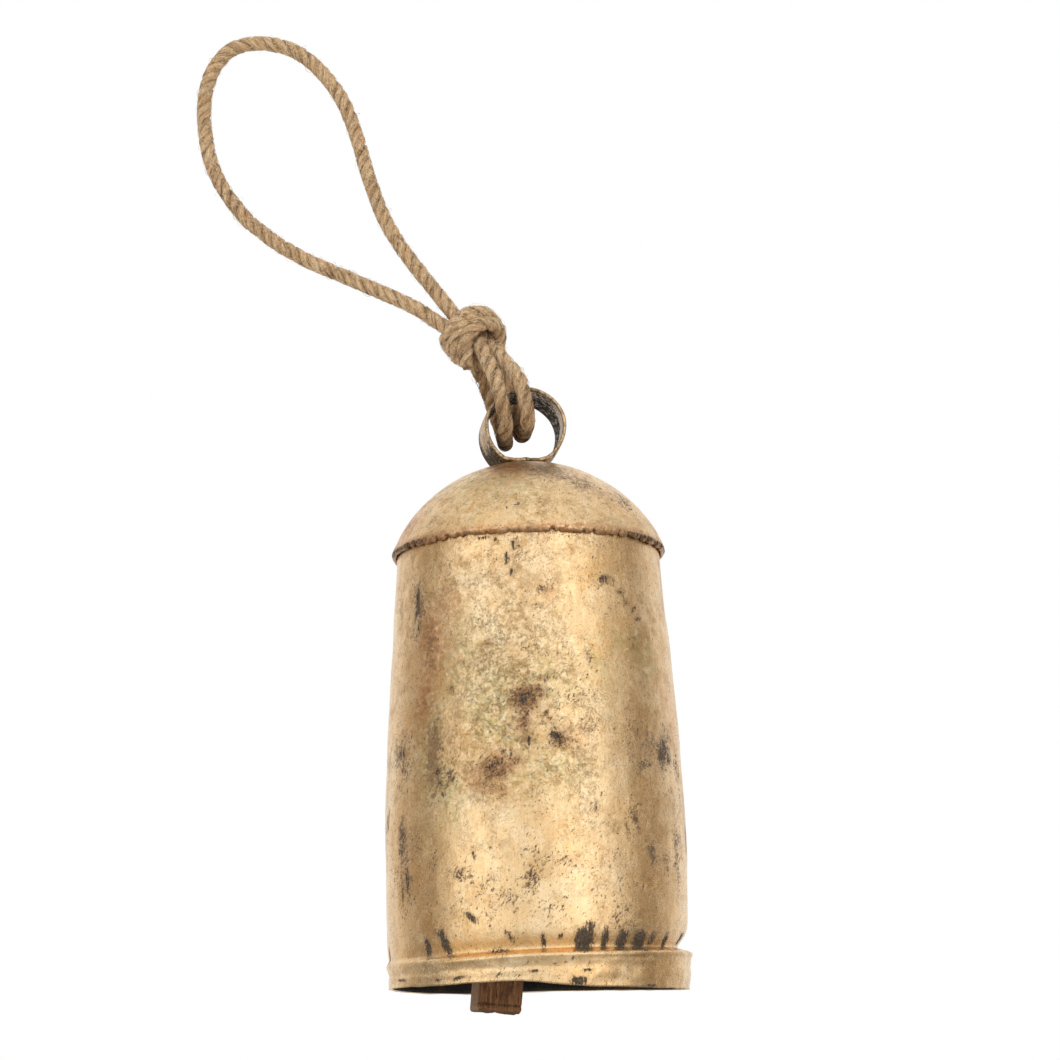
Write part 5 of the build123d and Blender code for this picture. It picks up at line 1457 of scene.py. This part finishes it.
def floor_material():
    g = Mat("pale_floor")
    n = g.noise(g.mm(), 25.0, 3.0, 0.6)
    col = g.ramp(n, [(0.3, (0.86, 0.86, 0.86)), (0.7, (0.88, 0.88, 0.875))])
    d = g.node("ShaderNodeBsdfDiffuse")
    g.put(d.inputs[0], col)
    tr = g.node("ShaderNodeBsdfTransparent")
    geo = g.node("ShaderNodeNewGeometry")
    mx = g.node("ShaderNodeMixShader")
    path = g.node("ShaderNodeLightPath")
    # seen from above only, and left out of the metal's reflections
    hidden = g.math("MAXIMUM", geo.outputs["Backfacing"], path.outputs["Is Glossy Ray"])
    # and it fades away into the white surround
    ctr = g.vmath("SUBTRACT", g.mm(), (AXIS_X * 1000.0, 0.0, floor_z * 1000.0))
    hidden = g.math("MAXIMUM", hidden, g.rng(g.vmath("LENGTH", ctr), 450.0, 1900.0))
    g.put(mx.inputs[0], hidden)
    g.put(mx.inputs[1], d.outputs[0])
    g.put(mx.inputs[2], tr.outputs[0])
    g.put(g.out.inputs["Surface"], mx.outputs[0])
    return g.m


S = 6.0
cx = AXIS_X
floor = make("floor", [(cx - S, -S, floor_z), (cx + S, -S, floor_z), (cx + S, S, floor_z), (cx - S, S, floor_z)], [(0, 1, 2, 3)], [floor_material()], None, smooth_faces=False)

world = bpy.data.worlds.new("studio")
bpy.context.scene.world = world
world.use_nodes = True
wt = world.node_tree
wt.nodes.clear()
W = Mat.__new__(Mat)
W.t = wt
W._mm = None
W.out = wt.nodes.new("ShaderNodeOutputWorld")
tc = W.node("ShaderNodeTexCoord")
sep = W.node("ShaderNodeSeparateXYZ")
W.put(sep.inputs[0], tc.outputs["Generated"])
dx, dy, dz = sep.outputs
az = W.math("ARCTAN2", dx, W.mul(dy, -1.0))
azt = W.math("DIVIDE", W.math("ADD", az, math.pi), 2 * math.pi)
STUDIO = [
    (-180, 1.00), (-146, 1.00), (-124, 0.80), (-108, 0.36), (-88, 0.25), (-74, 0.52), (-60, 1.22), (-44, 1.50), (-28, 1.25), (-12, 1.00),
    (4, 1.02), (18, 1.38), (32, 1.66), (46, 1.42), (62, 0.94), (76, 0.50), (92, 0.25), (108, 0.34), (126, 0.85), (146, 1.00), (180, 1.00)]


def warm(v):
    w = 0.19 * min(max((1.0 - v) / 0.74, 0.0), 1.0)
    return (v / 2 * (1 + w), v / 2, v / 2 * (1 - w))


light = W.ramp(azt, [((a + 180) / 360.0, warm(v)) for a, v in STUDIO], "EASE")
elev = W.math("ARCSINE", dz)
el = W.math("DIVIDE", W.math("ADD", elev, math.pi / 2), math.pi)
# towards straight up the boxes melt into an even ceiling
ceil = W.rng(dz, 0.45, 0.95)
lit = W.mix(ceil, light, (0.50, 0.50, 0.50))
down = W.rng(dz, -0.60, -0.05, 0.50, 1.0)
strength = W.mul(down, 2.0)
bg = W.node("ShaderNodeBackground")
W.put(bg.inputs[0], lit)
W.put(bg.inputs[1], strength)
white = W.node("ShaderNodeBackground")
white.inputs[0].default_value = (1, 1, 1, 1)
white.inputs[1].default_value = 1.0
lp = W.node("ShaderNodeLightPath")
mxs = W.node("ShaderNodeMixShader")
W.put(mxs.inputs[0], lp.outputs["Is Camera Ray"])
W.put(mxs.inputs[1], bg.outputs[0])
W.put(mxs.inputs[2], white.outputs[0])
W.put(W.out.inputs["Surface"], mxs.outputs[0])

# camera: below the bell, looking up at it, turned a little so that the bell leans
TILT, ROLL, DIST = math.radians(12.0), math.radians(1.5), 1.0775
target = Vector((AXIS_X + 0.001016, 0.0, MOUTH_Z + 0.195081))
F = Vector((0, math.cos(TILT), math.sin(TILT)))
U = Vector((0, -math.sin(TILT), math.cos(TILT)))
X = Vector((1, 0, 0))
right = X * math.cos(ROLL) - U * math.sin(ROLL)
up = X * math.sin(ROLL) + U * math.cos(ROLL)
cam_data = bpy.data.cameras.new("camera")
cam = bpy.data.objects.new("camera", cam_data)
bpy.context.scene.collection.objects.link(cam)
loc = target - F * DIST
cam.matrix_world = Matrix((
    (right.x, up.x, -F.x, loc.x),
    (right.y, up.y, -F.y, loc.y),
    (right.z, up.z, -F.z, loc.z),
    (0, 0, 0, 1),
))
cam_data.sensor_width = 36.0
cam_data.lens = 36.0 * 2500.0 / 1060.0
cam_data.clip_start, cam_data.clip_end = 0.01, 50.0
bpy.context.scene.camera = cam

vs = bpy.context.scene.view_settings
vs.view_transform = "Standard"
vs.look = "None"
vs.exposure = 0.0
vs.gamma = 1.0
